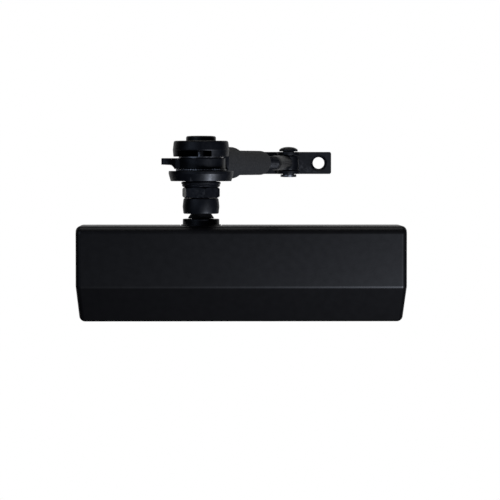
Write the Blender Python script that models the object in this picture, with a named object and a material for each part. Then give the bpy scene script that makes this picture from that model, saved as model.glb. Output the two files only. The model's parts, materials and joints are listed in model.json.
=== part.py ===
"""Door closer with a hold-open arm, in metres, +Z up.

The origin is the centre of the mounting plate's back face.
+X runs along the cover and +Y points into the door.
The main arm points straight out from the door, and the forearm runs back from its elbow to the frame shoe.
"""

import math

import bmesh
import bpy
from mathutils import Matrix, Vector

MM = 0.001
GAP = 0.3  # every length below is in millimetres, and this is left between pieces that touch

# Cover
COVER_LENGTH = 230.0
COVER_HEIGHT = 67.0
COVER_DEPTH = 50.0
COVER_WALL = 2.2
COVER_END_WALL = 2.8
COVER_TOP_RADIUS = 5.9
COVER_END_RADIUS = 2.6
COVER_CREASE_Z = -9.3
COVER_SLOPE_BACK = 15.0
COVER_BOTTOM_RADIUS = 3.0
COVER_END_TAPER = 2.3
NOTCH_HALF_WIDTH = 14.6

# Closer body and what it holds
SPINDLE_X = -28.0
BORE_Y = -25.0
PLATE_THICKNESS = 3.0
PLATE_HALF_LENGTH = 109.0
PLATE_HALF_HEIGHT = 29.5
BODY_BACK_Y = -PLATE_THICKNESS - GAP
BODY_HALF_LENGTH = 98.0
BODY_RADIUS = 20.5
FOOT_HALF_HEIGHT = 22.0
BORE_RADIUS = 16.5
PISTON_RADIUS = BORE_RADIUS - GAP
UPPER_BOSS_RADIUS = 16.5
UPPER_BOSS_Z = 30.5
LOWER_BOSS_RADIUS = 12.5
LOWER_BOSS_Z = -24.5
UPPER_SEAT_RADIUS = 13.2
UPPER_SEAT_Z = 18.0
LOWER_SEAT_RADIUS = 10.2
LOWER_SEAT_Z = -18.0
LUG_X = 84.0
LUG_Z = 25.8
LUG_HOLE_RADIUS = 2.3
LUG_FRONT_Y = -11.0
DOOR_HOLE_X = 103.0
DOOR_HOLE_Z = 18.0
DOOR_HOLE_RADIUS = 3.25
VALVE_Y = -8.5
VALVE_Z = 17.0
VALVE_RADIUS = 3.0

# Pinion and rack
MODULE = 2.0
PINION_TEETH = 9
PRESSURE_ANGLE = math.radians(25)
ADDENDUM = 1.5
DEDENDUM = 1.9
BACKLASH = 0.35
PINION_HALF_HEIGHT = 9.0
PITCH_RADIUS = MODULE * PINION_TEETH / 2
TOOTH_PITCH = math.pi * MODULE
TOOTH_WIDTH = TOOTH_PITCH / 2 - BACKLASH
RACK_TEETH = 7

# Piston and spring, along X
PISTON_LEFT_X = -82.0
PISTON_RIGHT_X = -1.0
WINDOW_LEFT_X = -68.0
WINDOW_RIGHT_X = -15.0
WINDOW_BACK_Y = -13.3
SPRING_SEAT_X = 84.0
SPRING_WIRE_RADIUS = 2.3
SPRING_MEAN_RADIUS = 12.8
SPRING_TURNS = 9.5

# Spindle and main arm
UPPER_JOURNAL_RADIUS = 6.8
LOWER_JOURNAL_RADIUS = 6.0
NECK_RADIUS = 6.3
ARM_SQUARE = 8.8
ARM_LENGTH = 170.0
ARM_WIDTH = 23.6
ARM_WAIST = 20.0
ARM_LOW_Z = 44.5
ARM_HIGH_Z = 54.4

# Elbow, upwards from the arm
STUD_RADIUS = 6.0
STUD_NECK_RADIUS = 3.45
NUT_ACROSS_FLATS = 22.0
NUT_TURN = math.radians(41)
NUT_Z = (54.7, 61.6)
DISC_SPRING_Z = (61.9, 63.0)
COLLAR_Z = (63.3, 65.1)
COLLAR_RADIUS = 12.6
RATCHET_Z = (65.4, 71.95)
RATCHET_RADII = (19.5, 20.8)
SERRATED_Z = (72.25, 73.8)
SERRATED_RADIUS = 16.2
SERRATIONS = 30
CAM_Z = (74.1, 79.7)
CAM_RADIUS = 15.6
CAM_TAB_REACH = 25.4
CAM_TAB_HALF_WIDTH = 6.5
FRICTION_WASHER_Z = (80.0, 81.1)
FRICTION_WASHER_RADIUS = 14.4
HEAD_Z = (81.4, 91.3)
HEAD_RADIUS = 18.2
HEAD_WINDOW_X = (-14.6, 6.8)
HEAD_WINDOW_TOP_Z = 85.4
SPINE_LOW_Z = 74.1
SPINE_RADII = (16.5, 21.5)
SPINE_HALF_ANGLE = math.radians(38)
CAP_Z = (91.6, 94.5)
CAP_RADIUS = 9.6

# Forearm, measured along it from the elbow axis
FOREARM_ANGLE = math.radians(71)
FOREARM_LENGTH = 189.0
FOREARM_Z = 77.2
SLEEVE_START = 21.8
SLEEVE_STEP = 62.5
SLEEVE_END = 124.0
SLEEVE_RADII = (10.45, 8.2)
SPIGOT_RADIUS = 5.0
SPIGOT_END = 36.0
THREAD_START = 88.0
THREAD_END = 155.0
THREAD_RADIUS = 4.65
SHANK_RADIUS = 5.1
EYE_RADIUS = 7.4
EYE_HALF_HEIGHT = 4.9
PIN_RADIUS = 4.0

# Frame shoe
SHOE_HALF_LENGTH = 30.7
SHOE_HALF_HEIGHT = 7.8
SHOE_THICKNESS = 2.5
EAR_THICKNESS = 2.4
EAR_RADIUS = 8.0
SHOE_HOLE_REACH = 21.8
SHOE_HOLE_RADIUS = 4.1
SHOE_SINK_RADIUS = 6.0

ELBOW_Y = BORE_Y - ARM_LENGTH
PIN_X = SPINDLE_X + FOREARM_LENGTH * math.cos(FOREARM_ANGLE)
PIN_Y = ELBOW_Y + FOREARM_LENGTH * math.sin(FOREARM_ANGLE)

ALONG_X = Matrix.Rotation(math.radians(90), 4, "Y")
ALONG_MINUS_Y = Matrix.Rotation(math.radians(90), 4, "X")
UPRIGHT = Matrix.Identity(4)


def clear_scene():
    for piece in list(bpy.data.objects):
        bpy.data.objects.remove(piece)


def make_material(name, colour, roughness, metallic):
    material = bpy.data.materials.new(name)
    material.use_nodes = True
    shader = material.node_tree.nodes["Principled BSDF"]
    shader.inputs["Base Color"].default_value = (*colour, 1.0)
    shader.inputs["Roughness"].default_value = roughness
    shader.inputs["Metallic"].default_value = metallic
    return material


def make_axis(name, x=0.0, y=0.0, z=0.0, turn=0.0):
    """An empty on a joint's axis, which the pieces that move with it are parented to."""
    axis = bpy.data.objects.new(name, None)
    axis.location = (x * MM, y * MM, z * MM)
    axis.rotation_euler = (0.0, 0.0, turn)
    bpy.context.scene.collection.objects.link(axis)
    return axis


def place(name, shape, material, parent, location=(0.0, 0.0, 0.0), direction=UPRIGHT):
    """Links a shape, in millimetres about its own origin, as an object under its axis."""
    bmesh.ops.recalc_face_normals(shape, faces=shape.faces)
    bmesh.ops.scale(shape, vec=(MM, MM, MM), verts=shape.verts)
    mesh = bpy.data.meshes.new(name)
    shape.to_mesh(mesh)
    shape.free()
    mesh.materials.append(material)
    mesh.shade_smooth()
    mesh.set_sharp_from_angle(angle=math.radians(35))
    piece = bpy.data.objects.new(name, mesh)
    piece.parent = parent
    piece.matrix_local = Matrix.Translation(Vector(location) * MM) @ direction
    bpy.context.scene.collection.objects.link(piece)
    return piece


def combine(piece, operation, shape, location=(0.0, 0.0, 0.0), direction=UPRIGHT):
    """Joins a shape to a piece, or cuts it out, with a hidden helper under the same axis."""
    name = f"{piece.name}_{operation.lower()}_{len(piece.modifiers)}"
    helper = place(name, shape, piece.data.materials[0], piece.parent, location, direction)
    helper.hide_render = True
    helper.display_type = "WIRE"
    modifier = piece.modifiers.new(name, "BOOLEAN")
    modifier.operation = operation
    modifier.object = helper


def arc(centre, radius, start_deg, end_deg, steps):
    """Points on an arc, ends included."""
    turns = [math.radians(start_deg + (end_deg - start_deg) * i / steps) for i in range(steps + 1)]
    return [(centre[0] + radius * math.cos(a), centre[1] + radius * math.sin(a)) for a in turns]


def rounded_rectangle(half_width, half_height, radius, steps=3):
    corners = ((1, 1, 0), (-1, 1, 90), (-1, -1, 180), (1, -1, 270))
    outline = []
    for side_x, side_y, start in corners:
        centre = (side_x * (half_width - radius), side_y * (half_height - radius))
        outline += arc(centre, radius, start, start + 90, steps)
    return outline


def prism(outline, low, high):
    """An outline in X and Y, extruded along Z."""
    shape = bmesh.new()
    bottom = [shape.verts.new((x, y, low)) for x, y in outline]
    face = shape.faces.new(bottom)
    extruded = bmesh.ops.extrude_face_region(shape, geom=[face])
    top = [item for item in extruded["geom"] if isinstance(item, bmesh.types.BMVert)]
    bmesh.ops.translate(shape, verts=top, vec=(0.0, 0.0, high - low))
    return shape


def block(x_range, y_range, z_range):
    left, right = x_range
    front, back = y_range
    corners = [(left, front), (right, front), (right, back), (left, back)]
    return prism(corners, *z_range)


def facets(radius):
    """How many sides a round piece of this radius gets."""
    return 12 if radius < 4 else 16 if radius < 10 else 20 if radius < 15 else 24


def turned(profile, ring=False):
    """A profile of (radius, height) points turned about Z. A ring's profile closes on itself."""
    shape = bmesh.new()
    points = [shape.verts.new((radius, 0.0, height)) for radius, height in profile]
    pairs = list(zip(points, points[1:]))
    if ring:
        pairs.append((points[-1], points[0]))
    edges = [shape.edges.new(pair) for pair in pairs]
    bmesh.ops.spin(
        shape,
        geom=points + edges,
        cent=(0.0, 0.0, 0.0),
        axis=(0.0, 0.0, 1.0),
        angle=math.tau,
        steps=facets(max(radius for radius, _ in profile)),
        use_merge=True,
    )
    bmesh.ops.remove_doubles(shape, verts=shape.verts, dist=1e-4)
    return shape


def rod(radius, low, high, edge=0.0):
    """A round bar along Z, with its end edges cut back by edge."""
    profile = [(0.0, low), (radius - edge, low)]
    if edge:
        profile += [(radius, low + edge), (radius, high - edge)]
    else:
        profile += [(radius, low)]
    profile += [(radius - edge, high), (0.0, high)]
    return turned([point for i, point in enumerate(profile) if point not in profile[:i]])


def washer(inner, outer, low, high):
    return turned([(inner, low), (outer, low), (outer, high), (inner, high)], ring=True)


def hexagon(across_flats, turn=0.0):
    radius = across_flats / math.sqrt(3)
    return [
        (radius * math.cos(turn + math.radians(60 * i)), radius * math.sin(turn + math.radians(60 * i)))
        for i in range(6)
    ]


# Cover --------------------------------------------------------------------------------------------


def cover_outline(inset, back_y):
    """The cover's section in depth and height, moved inwards by inset."""
    half_height = COVER_HEIGHT / 2 - inset
    front = -COVER_DEPTH + inset
    top_radius = COVER_TOP_RADIUS - inset
    slope = math.atan2(COVER_SLOPE_BACK, COVER_HEIGHT / 2 + COVER_CREASE_Z)
    crease_z = COVER_CREASE_Z + inset * math.tan(slope / 2)
    bottom_y = front + (crease_z + half_height) * math.tan(slope)
    bottom_turn = 90 - math.degrees(slope)
    radius = COVER_BOTTOM_RADIUS - inset / 2
    reach = radius * math.tan(math.radians(bottom_turn / 2))
    centre = (bottom_y + reach, -half_height + radius)
    outline = [(back_y, half_height)]
    outline += arc((front + top_radius, half_height - top_radius), top_radius, 90, 180, 5)
    outline += [(front, crease_z)]
    outline += arc(centre, radius, 270 - bottom_turn, 270, 3)
    outline += [(back_y, -half_height), (back_y, crease_z)]
    return outline


def cover_solid(inset, end_inset, back_y):
    """The section extruded along X, its ends drawn in below the crease."""
    shape = bmesh.new()
    half_length = COVER_LENGTH / 2 - end_inset
    rings = []
    for side in (-1, 1):
        ring = []
        for y, z in cover_outline(inset, back_y):
            depth = max(0.0, COVER_CREASE_Z - z) / (COVER_HEIGHT / 2 + COVER_CREASE_Z)
            ring.append(shape.verts.new((side * (half_length - COVER_END_TAPER * depth), y, z)))
        rings.append(ring)
    left, right = rings
    count = len(left)
    for i in range(count):
        shape.faces.new((left[i], left[(i + 1) % count], right[(i + 1) % count], right[i]))
    crease = 7
    for ring in rings:
        shape.faces.new(ring[: crease + 1] + [ring[-1]])
        shape.faces.new(ring[crease:])
    return shape


def build_cover(material, axis):
    cover = place("cover", cover_solid(0.0, 0.0, 8.0), material, axis)
    bevel = cover.modifiers.new("end edges", "BEVEL")
    bevel.width = COVER_END_RADIUS * MM
    bevel.segments = 2
    bevel.limit_method = "ANGLE"
    bevel.angle_limit = math.radians(50)
    combine(cover, "DIFFERENCE", cover_solid(COVER_WALL, COVER_END_WALL, 20.0))
    combine(cover, "DIFFERENCE", block((-150, 150), (0.0, 30.0), (-60, 60)))
    notch = [(SPINDLE_X + NOTCH_HALF_WIDTH, 10.0), (SPINDLE_X - NOTCH_HALF_WIDTH, 10.0)]
    notch += arc((SPINDLE_X, BORE_Y), NOTCH_HALF_WIDTH, 180, 360, 12)
    combine(cover, "DIFFERENCE", prism(notch, 27.0, 40.0))


# Closer body --------------------------------------------------------------------------------------


def build_mounting_plate(material, axis):
    outline = rounded_rectangle(PLATE_HALF_LENGTH, PLATE_HALF_HEIGHT, 6.0)
    shape = prism(outline, 0.0, PLATE_THICKNESS)
    plate = place("mounting_plate", shape, material, axis, direction=ALONG_MINUS_Y)
    holes = [(x * DOOR_HOLE_X, z * DOOR_HOLE_Z, DOOR_HOLE_RADIUS) for x in (-1, 1) for z in (-1, 1)]
    holes += [(x * LUG_X, z * LUG_Z, LUG_HOLE_RADIUS) for x in (-1, 1) for z in (-1, 1)]
    holes += [(x * 104.5, 0.0, 2.3) for x in (-1, 1)]
    for x, z, radius in holes:
        combine(plate, "DIFFERENCE", rod(radius, -2, 6), (x, 0, z), ALONG_MINUS_Y)


def body_outline():
    """The casting's section in depth and height: a flat foot at the back and a round barrel in front."""
    outline = [(BODY_BACK_Y, -FOOT_HALF_HEIGHT), (BODY_BACK_Y, FOOT_HALF_HEIGHT)]
    outline += [(LUG_FRONT_Y, FOOT_HALF_HEIGHT)]
    outline += arc((BORE_Y, 0.0), BODY_RADIUS, 90, 270, 12)
    outline += [(LUG_FRONT_Y, -FOOT_HALF_HEIGHT)]
    return outline


def prism_along_x(outline, low, high):
    """An outline in Y and Z, extruded along X."""
    shape = prism(outline, low, high)
    swap = Matrix(((0, 0, 1, 0), (1, 0, 0, 0), (0, 1, 0, 0), (0, 0, 0, 1)))
    bmesh.ops.transform(shape, matrix=swap, verts=shape.verts)
    return shape


def build_closer_body(material, axis):
    shape = prism_along_x(body_outline(), -BODY_HALF_LENGTH, BODY_HALF_LENGTH)
    body = place("closer_body", shape, material, axis)
    at_spindle = (SPINDLE_X, BORE_Y, 0.0)
    combine(body, "UNION", rod(UPPER_BOSS_RADIUS, 5, UPPER_BOSS_Z, 0.8), at_spindle)
    combine(body, "UNION", rod(LOWER_BOSS_RADIUS, LOWER_BOSS_Z, -5, 0.8), at_spindle)
    for side_x in (-1, 1):
        for side_z in (-1, 1):
            lug = rounded_rectangle(6.5, 4.2, 3.0)
            lug_at = (side_x * LUG_X, 0.0, side_z * LUG_Z)
            combine(body, "UNION", prism(lug, -BODY_BACK_Y, -LUG_FRONT_Y), lug_at, ALONG_MINUS_Y)
            combine(body, "DIFFERENCE", rod(LUG_HOLE_RADIUS, 0, 20), lug_at, ALONG_MINUS_Y)
    combine(body, "DIFFERENCE", rod(BORE_RADIUS, -110, 110), (0, BORE_Y, 0), ALONG_X)
    shaft_way = [(0, -40), (LOWER_SEAT_RADIUS, -40), (LOWER_SEAT_RADIUS, LOWER_SEAT_Z)]
    shaft_way += [(8.0, LOWER_SEAT_Z), (8.0, 0), (11.2, 0), (11.2, UPPER_SEAT_Z)]
    shaft_way += [(UPPER_SEAT_RADIUS, UPPER_SEAT_Z), (UPPER_SEAT_RADIUS, 40), (0, 40)]
    combine(body, "DIFFERENCE", turned(shaft_way), at_spindle)
    for side_z in (-1, 1):
        hole_at = (0, VALVE_Y, side_z * VALVE_Z)
        combine(body, "DIFFERENCE", rod(VALVE_RADIUS + GAP, -110, -82), hole_at, ALONG_X)


def plug_profile(length, bore):
    """An end plug from its inner face outwards, with a groove for its seal ring."""
    return [
        (bore, 0.0),
        (PISTON_RADIUS, 0.0),
        (PISTON_RADIUS, 2.4),
        (14.5, 2.4),
        (14.5, 5.0),
        (PISTON_RADIUS, 5.0),
        (PISTON_RADIUS, length - 0.6),
        (PISTON_RADIUS - 0.6, length),
        (bore, length),
    ]


def build_end_plugs(material, seal_material, axis):
    length = 8.5
    outwards = {"left": (-1, Matrix.Rotation(math.radians(-90), 4, "Y")), "right": (1, ALONG_X)}
    for name, (side, direction) in outwards.items():
        start = (side * (BODY_HALF_LENGTH - length), BORE_Y, 0.0)
        bore = 4.3 if name == "right" else 0.0
        plug = place(
            f"end_plug_{name}", turned(plug_profile(length, bore), ring=bool(bore)), material, axis, start, direction
        )
        for spanner_y in (-10.5, 10.5):
            hole_at = (side * (BODY_HALF_LENGTH - 3.0), BORE_Y + spanner_y, 0.0)
            combine(plug, "DIFFERENCE", rod(1.8, 0, 5), hole_at, direction)
        seal = turned([(15.5 + 0.75 * math.cos(a), 3.7 + 0.75 * math.sin(a)) for a in angles(6)], ring=True)
        place(f"end_seal_{name}", seal, seal_material, axis, start, direction)


def angles(count):
    return [math.tau * i / count for i in range(count)]


def build_glands_and_bearings(material, bearing_material, seal_material, axis):
    barrel = UPPER_SEAT_RADIUS - GAP
    gland = [
        (6.6, 24.6),
        (barrel, 24.6),
        (barrel, 30.8),
        (14.0, 30.8),
        (14.0, 33.9),
        (13.7, 34.2),
        (12.8, 34.2),
        (12.8, 37.7),
        (12.4, 38.1),
        (6.6, 38.1),
    ]
    place("pinion_gland_upper", turned(gland, ring=True), material, axis)
    lip = [(6.6, 38.4), (9.3, 38.4), (8.6, 39.6), (7.0, 41.8), (6.6, 41.8)]
    place("spindle_seal", turned(lip, ring=True), seal_material, axis)
    upper_bush = washer(UPPER_JOURNAL_RADIUS + GAP, barrel, UPPER_SEAT_Z + GAP, 24.3)
    place("bearing_upper", upper_bush, bearing_material, axis)
    lower = LOWER_SEAT_RADIUS - GAP
    lower_bush = washer(LOWER_JOURNAL_RADIUS + GAP, lower, -21.5, LOWER_SEAT_Z - GAP)
    place("bearing_lower", lower_bush, bearing_material, axis)
    place("pinion_gland_lower", rod(lower, LOWER_BOSS_Z, -21.8, 0.4), material, axis)


def build_valves(material, axis):
    for name, side in (("closing_valve", 1), ("latching_valve", -1)):
        valve_at = (0.0, VALVE_Y, side * VALVE_Z)
        profile = [(0, -83), (0.9, -83), (VALVE_RADIUS, -88), (VALVE_RADIUS, -97.0), (2.5, -97.6), (0, -97.6)]
        valve = place(name, turned(profile), material, axis, valve_at, ALONG_X)
        slot = block((-98.6, -96.4), (-4, 4), (-0.45, 0.45))
        combine(valve, "DIFFERENCE", slot, valve_at)


def build_body_screws(material, axis):
    number = 0
    for side_x in (-1, 1):
        for side_z in (-1, 1):
            number += 1
            head = -LUG_FRONT_Y + GAP
            profile = [(0, 0.5), (2.0, 0.5), (2.0, head), (3.5, head), (3.5, head + 3.1), (3.1, head + 3.5),
                       (0, head + 3.5)]
            screw_at = (side_x * LUG_X, 0.0, side_z * LUG_Z)
            screw = place(f"body_screw_{number}", turned(profile), material, axis, screw_at, ALONG_MINUS_Y)
            combine(screw, "DIFFERENCE", prism(hexagon(3.0), head + 1.2, head + 6), screw_at, ALONG_MINUS_Y)


def build_cover_clips(material, screw_material, axis):
    foot_y = BODY_BACK_Y
    for name, side in (("left", -1), ("right", 1)):
        outline = [(100, foot_y), (110.5, foot_y), (110.5, -20), (109.7, -22), (109.3, -20),
                   (109.3, foot_y - 1.2), (100, foot_y - 1.2)]
        outline = [(side * x, y) for x, y in outline]
        clip = place(f"cover_clip_{name}", prism(outline, -8.0, 8.0), material, axis)
        at = (side * 104.5, 0.0, 0.0)
        combine(clip, "DIFFERENCE", rod(2.3, 0, 12), at, ALONG_MINUS_Y)
        head = -foot_y + 1.2 + GAP
        profile = [(0, 0.5), (2.0, 0.5), (2.0, head), (3.5, head), (3.2, head + 1.4)]
        profile += [(2.0, head + 2.0), (0, head + 2.0)]
        screw = place(f"clip_screw_{name}", turned(profile), screw_material, axis, at, ALONG_MINUS_Y)
        combine(screw, "DIFFERENCE", block((-0.4, 0.4), (-6, 6), (head + 1.2, head + 4)), at, ALONG_MINUS_Y)


# Piston and spring --------------------------------------------------------------------------------


def rack_window():
    """The opening in the piston, its front edge cut as a rack."""
    root_y = BORE_Y - PITCH_RADIUS - DEDENDUM
    tip_y = BORE_Y - PITCH_RADIUS + ADDENDUM
    half_tip = TOOTH_WIDTH / 2 - ADDENDUM * math.tan(PRESSURE_ANGLE)
    half_root = TOOTH_WIDTH / 2 + DEDENDUM * math.tan(PRESSURE_ANGLE)
    outline = [(WINDOW_RIGHT_X, WINDOW_BACK_Y), (WINDOW_LEFT_X, WINDOW_BACK_Y), (WINDOW_LEFT_X, root_y)]
    for tooth in range(RACK_TEETH):
        centre = SPINDLE_X + (tooth + 1.5 - RACK_TEETH) * TOOTH_PITCH
        outline += [(centre - half_root, root_y), (centre - half_tip, tip_y)]
        outline += [(centre + half_tip, tip_y), (centre + half_root, root_y)]
    return outline + [(WINDOW_RIGHT_X, root_y)]


def ring_groove(x):
    return [(PISTON_RADIUS, x - 1.3), (14.8, x - 1.3), (14.8, x + 1.3), (PISTON_RADIUS, x + 1.3)]


def build_piston(material, ring_material, valve_material, axis):
    profile = [(0, PISTON_LEFT_X), (PISTON_RADIUS - 0.8, PISTON_LEFT_X), (PISTON_RADIUS, PISTON_LEFT_X + 0.8)]
    ring_places = {"piston_ring_left": -75.0, "piston_ring_right": -8.0}
    for x in ring_places.values():
        profile += ring_groove(x)
    profile += [(PISTON_RADIUS, PISTON_RIGHT_X - 0.8), (PISTON_RADIUS - 0.8, PISTON_RIGHT_X), (0, PISTON_RIGHT_X)]
    on_bore = (0, BORE_Y, 0)
    piston = place("piston_rack", turned(profile), material, axis, on_bore, ALONG_X)
    combine(piston, "DIFFERENCE", prism(rack_window(), -25, 25))
    combine(piston, "DIFFERENCE", rod(3.0, -20, 5), on_bore, ALONG_X)
    for name, x in ring_places.items():
        place(name, washer(15.1, PISTON_RADIUS + 0.05, x - 1.0, x + 1.0), ring_material, axis, on_bore, ALONG_X)
    place("check_valve", rod(2.7, -12.5, -3.5, 0.5), valve_material, axis, on_bore, ALONG_X)


def build_return_spring(material, axis):
    steps_per_turn = 12
    sides = 5
    steps = int(SPRING_TURNS * steps_per_turn)
    start = PISTON_RIGHT_X + 0.4 + SPRING_WIRE_RADIUS
    length = SPRING_SEAT_X - 0.4 - SPRING_WIRE_RADIUS - start
    shape = bmesh.new()
    rings = []
    for step in range(steps + 1):
        turn = math.tau * step / steps_per_turn
        outward = Vector((0.0, math.cos(turn), math.sin(turn)))
        centre = Vector((start + length * step / steps, BORE_Y, 0.0)) + outward * SPRING_MEAN_RADIUS
        across = Vector((1.0, 0.0, 0.0))
        ring = []
        for side in angles(sides):
            offset = outward * math.cos(side) + across * math.sin(side)
            ring.append(shape.verts.new(centre + offset * SPRING_WIRE_RADIUS))
        rings.append(ring)
    for first, second in zip(rings, rings[1:]):
        for i in range(sides):
            shape.faces.new((first[i], first[(i + 1) % sides], second[(i + 1) % sides], second[i]))
    shape.faces.new(rings[0])
    shape.faces.new(rings[-1])
    place("return_spring", shape, material, axis)


def build_spring_seat(material, axis):
    profile = [(4.3, 80.0), (9.0, 80.0), (9.6, 80.8), (9.6, SPRING_SEAT_X), (PISTON_RADIUS, SPRING_SEAT_X),
               (PISTON_RADIUS, SPRING_SEAT_X + 3.5), (4.3, SPRING_SEAT_X + 3.5)]
    place("spring_seat", turned(profile, ring=True), material, axis, (0, BORE_Y, 0), ALONG_X)


def build_spring_adjuster(material, axis):
    head = BODY_HALF_LENGTH + GAP
    profile = [(0, 66), (3.4, 66), (4.0, 66.8), (4.0, head)]
    profile += [(6.5, head), (6.5, head + 4.4), (6.0, head + 5), (0, head + 5)]
    adjuster = place("spring_adjuster", turned(profile), material, axis, direction=ALONG_X)
    combine(adjuster, "DIFFERENCE", prism(hexagon(5.0), head + 1.5, head + 8), direction=ALONG_X)


# Spindle and main arm -----------------------------------------------------------------------------


def involute(angle):
    return math.tan(angle) - angle


def pinion_outline():
    """Nine stub teeth, one of them pointing at the rack."""
    base_radius = PITCH_RADIUS * math.cos(PRESSURE_ANGLE)
    root_radius = PITCH_RADIUS - DEDENDUM
    tip_radius = PITCH_RADIUS + ADDENDUM
    flank = []
    for step in range(4):
        radius = base_radius + (tip_radius - base_radius) * step / 3
        spread = TOOTH_WIDTH / (2 * PITCH_RADIUS)
        spread += involute(PRESSURE_ANGLE) - involute(math.acos(base_radius / radius))
        flank.append((radius, spread))
    flank.insert(0, (root_radius, flank[0][1]))
    outline = []
    for tooth in range(PINION_TEETH):
        middle = math.tau * tooth / PINION_TEETH - math.pi / 2
        outline += [(r * math.cos(middle - s), r * math.sin(middle - s)) for r, s in flank]
        outline += [(r * math.cos(middle + s), r * math.sin(middle + s)) for r, s in reversed(flank)]
    return outline


def build_pinion_spindle(material, axis):
    profile = [(0, -21.3), (LOWER_JOURNAL_RADIUS - 0.5, -21.3), (LOWER_JOURNAL_RADIUS, -20.8),
               (LOWER_JOURNAL_RADIUS, -8), (UPPER_JOURNAL_RADIUS, -8), (UPPER_JOURNAL_RADIUS, 24.2), (NECK_RADIUS, 24.2), (NECK_RADIUS, 44.2),
               (4.2, 44.2), (4.2, 47.0), (0, 47.0)]
    spindle = place("pinion_spindle", turned(profile), material, axis)
    combine(spindle, "UNION", prism(pinion_outline(), -PINION_HALF_HEIGHT, PINION_HALF_HEIGHT))
    square = rounded_rectangle(ARM_SQUARE / 2, ARM_SQUARE / 2, 0.8, 2)
    combine(spindle, "UNION", prism(square, 43.0, 54.0))
    combine(spindle, "DIFFERENCE", rod(3.3, 38.0, 60.0))


def arm_outline():
    """Round at both ends and a little narrower between them, from the spindle to the elbow along -Y."""
    half = ARM_WIDTH / 2
    waist = ARM_WAIST / 2
    outline = arc((0.0, 0.0), half, 0, 180, 12)
    outline += [(-half, -8.0), (-waist, -26.0), (-waist, -ARM_LENGTH + 26.0), (-half, -ARM_LENGTH + 8.0)]
    outline += arc((0.0, -ARM_LENGTH), half, 180, 360, 12)
    outline += [(half, -ARM_LENGTH + 8.0), (waist, -ARM_LENGTH + 26.0), (waist, -26.0), (half, -8.0)]
    return outline


def build_main_arm(material, axis):
    arm = place("main_arm", prism(arm_outline(), ARM_LOW_Z, ARM_HIGH_Z), material, axis)
    bevel = arm.modifiers.new("edges", "BEVEL")
    bevel.width = 0.8 * MM
    bevel.segments = 1
    bevel.limit_method = "ANGLE"
    bevel.angle_limit = math.radians(60)
    side = ARM_SQUARE / 2 + GAP
    combine(arm, "DIFFERENCE", prism(rounded_rectangle(side, side, 0.8, 2), 40, 60))
    combine(arm, "DIFFERENCE", rod(STUD_RADIUS + GAP, 40, 60), (0, -ARM_LENGTH, 0))


def build_arm_screw(material, axis):
    washer_z = ARM_HIGH_Z + GAP
    place("arm_washer", washer(3.3, 8.5, washer_z, washer_z + 1.4), material, axis)
    head = washer_z + 1.4 + GAP
    profile = [(0, 39.0), (2.6, 39.0), (3.0, 39.5), (3.0, head), (5.6, head), (5.6, head + 3.6), (4.9, head + 4.2),
               (0, head + 4.2)]
    screw = place("arm_screw", turned(profile), material, axis)
    combine(screw, "DIFFERENCE", prism(hexagon(5.0), head + 1.6, head + 8))


# Elbow --------------------------------------------------------------------------------------------


def build_elbow_stud(material, axis):
    neck_z = FRICTION_WASHER_Z[0]
    profile = [(0, ARM_LOW_Z + 0.4), (STUD_RADIUS - 0.6, ARM_LOW_Z + 0.4), (STUD_RADIUS, ARM_LOW_Z + 1.0),
               (STUD_RADIUS, neck_z - 0.4), (STUD_RADIUS - 0.4, neck_z), (STUD_NECK_RADIUS, neck_z),
               (STUD_NECK_RADIUS, CAP_Z[1] - 1.2), (0, CAP_Z[1] - 1.2)]
    place("elbow_stud", turned(profile), material, axis)


def build_hold_open_nut(material, axis):
    nut = place("hold_open_nut", prism(hexagon(NUT_ACROSS_FLATS, NUT_TURN), *NUT_Z), material, axis)
    combine(nut, "DIFFERENCE", rod(STUD_RADIUS + GAP, 50, 66))


def build_elbow_washers(black_material, steel_material, axis):
    inner = STUD_RADIUS + GAP
    low, high = DISC_SPRING_Z
    outer = COLLAR_RADIUS - 0.4
    dished = [(inner, low + 0.2), (outer - 0.6, low), (outer, low + 0.3), (outer, high - 0.3), (inner, high)]
    place("disc_spring", turned(dished, ring=True), black_material, axis)
    place("thrust_collar", washer(inner, COLLAR_RADIUS, *COLLAR_Z), black_material, axis)
    flat_washer = washer(STUD_NECK_RADIUS + GAP, FRICTION_WASHER_RADIUS, *FRICTION_WASHER_Z)
    place("friction_washer", flat_washer, steel_material, axis)


def build_ratchet_disc(material, axis):
    low, high = RATCHET_Z
    inner = STUD_RADIUS + GAP
    small, large = RATCHET_RADII
    profile = [(inner, low), (small - 0.5, low), (small, low + 0.5), (large, high - 1.8)]
    profile += [(large, high - 0.5), (large - 0.5, high), (inner, high)]
    place("ratchet_disc", turned(profile, ring=True), material, axis)


def build_serrated_ring(material, axis):
    outline = []
    root = SERRATED_RADIUS - 0.9
    for turn in angles(SERRATIONS):
        valley = turn + math.pi / SERRATIONS
        outline += [(SERRATED_RADIUS * math.cos(turn), SERRATED_RADIUS * math.sin(turn))]
        outline += [(root * math.cos(valley), root * math.sin(valley))]
    ring = place("serrated_ring", prism(outline, *SERRATED_Z), material, axis)
    combine(ring, "DIFFERENCE", rod(STUD_RADIUS + GAP, 66, 80))


def cam_outline():
    """A round plate with a straight-sided stop tab towards -X."""
    start = math.degrees(math.asin(CAM_TAB_HALF_WIDTH / CAM_RADIUS))
    outline = arc((0.0, 0.0), CAM_RADIUS, -180 + start, 180 - start, 24)
    outline += [(-CAM_TAB_REACH + 2.0, CAM_TAB_HALF_WIDTH), (-CAM_TAB_REACH, CAM_TAB_HALF_WIDTH - 2.0)]
    outline += [(-CAM_TAB_REACH, -CAM_TAB_HALF_WIDTH + 2.0), (-CAM_TAB_REACH + 2.0, -CAM_TAB_HALF_WIDTH)]
    return outline


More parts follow.
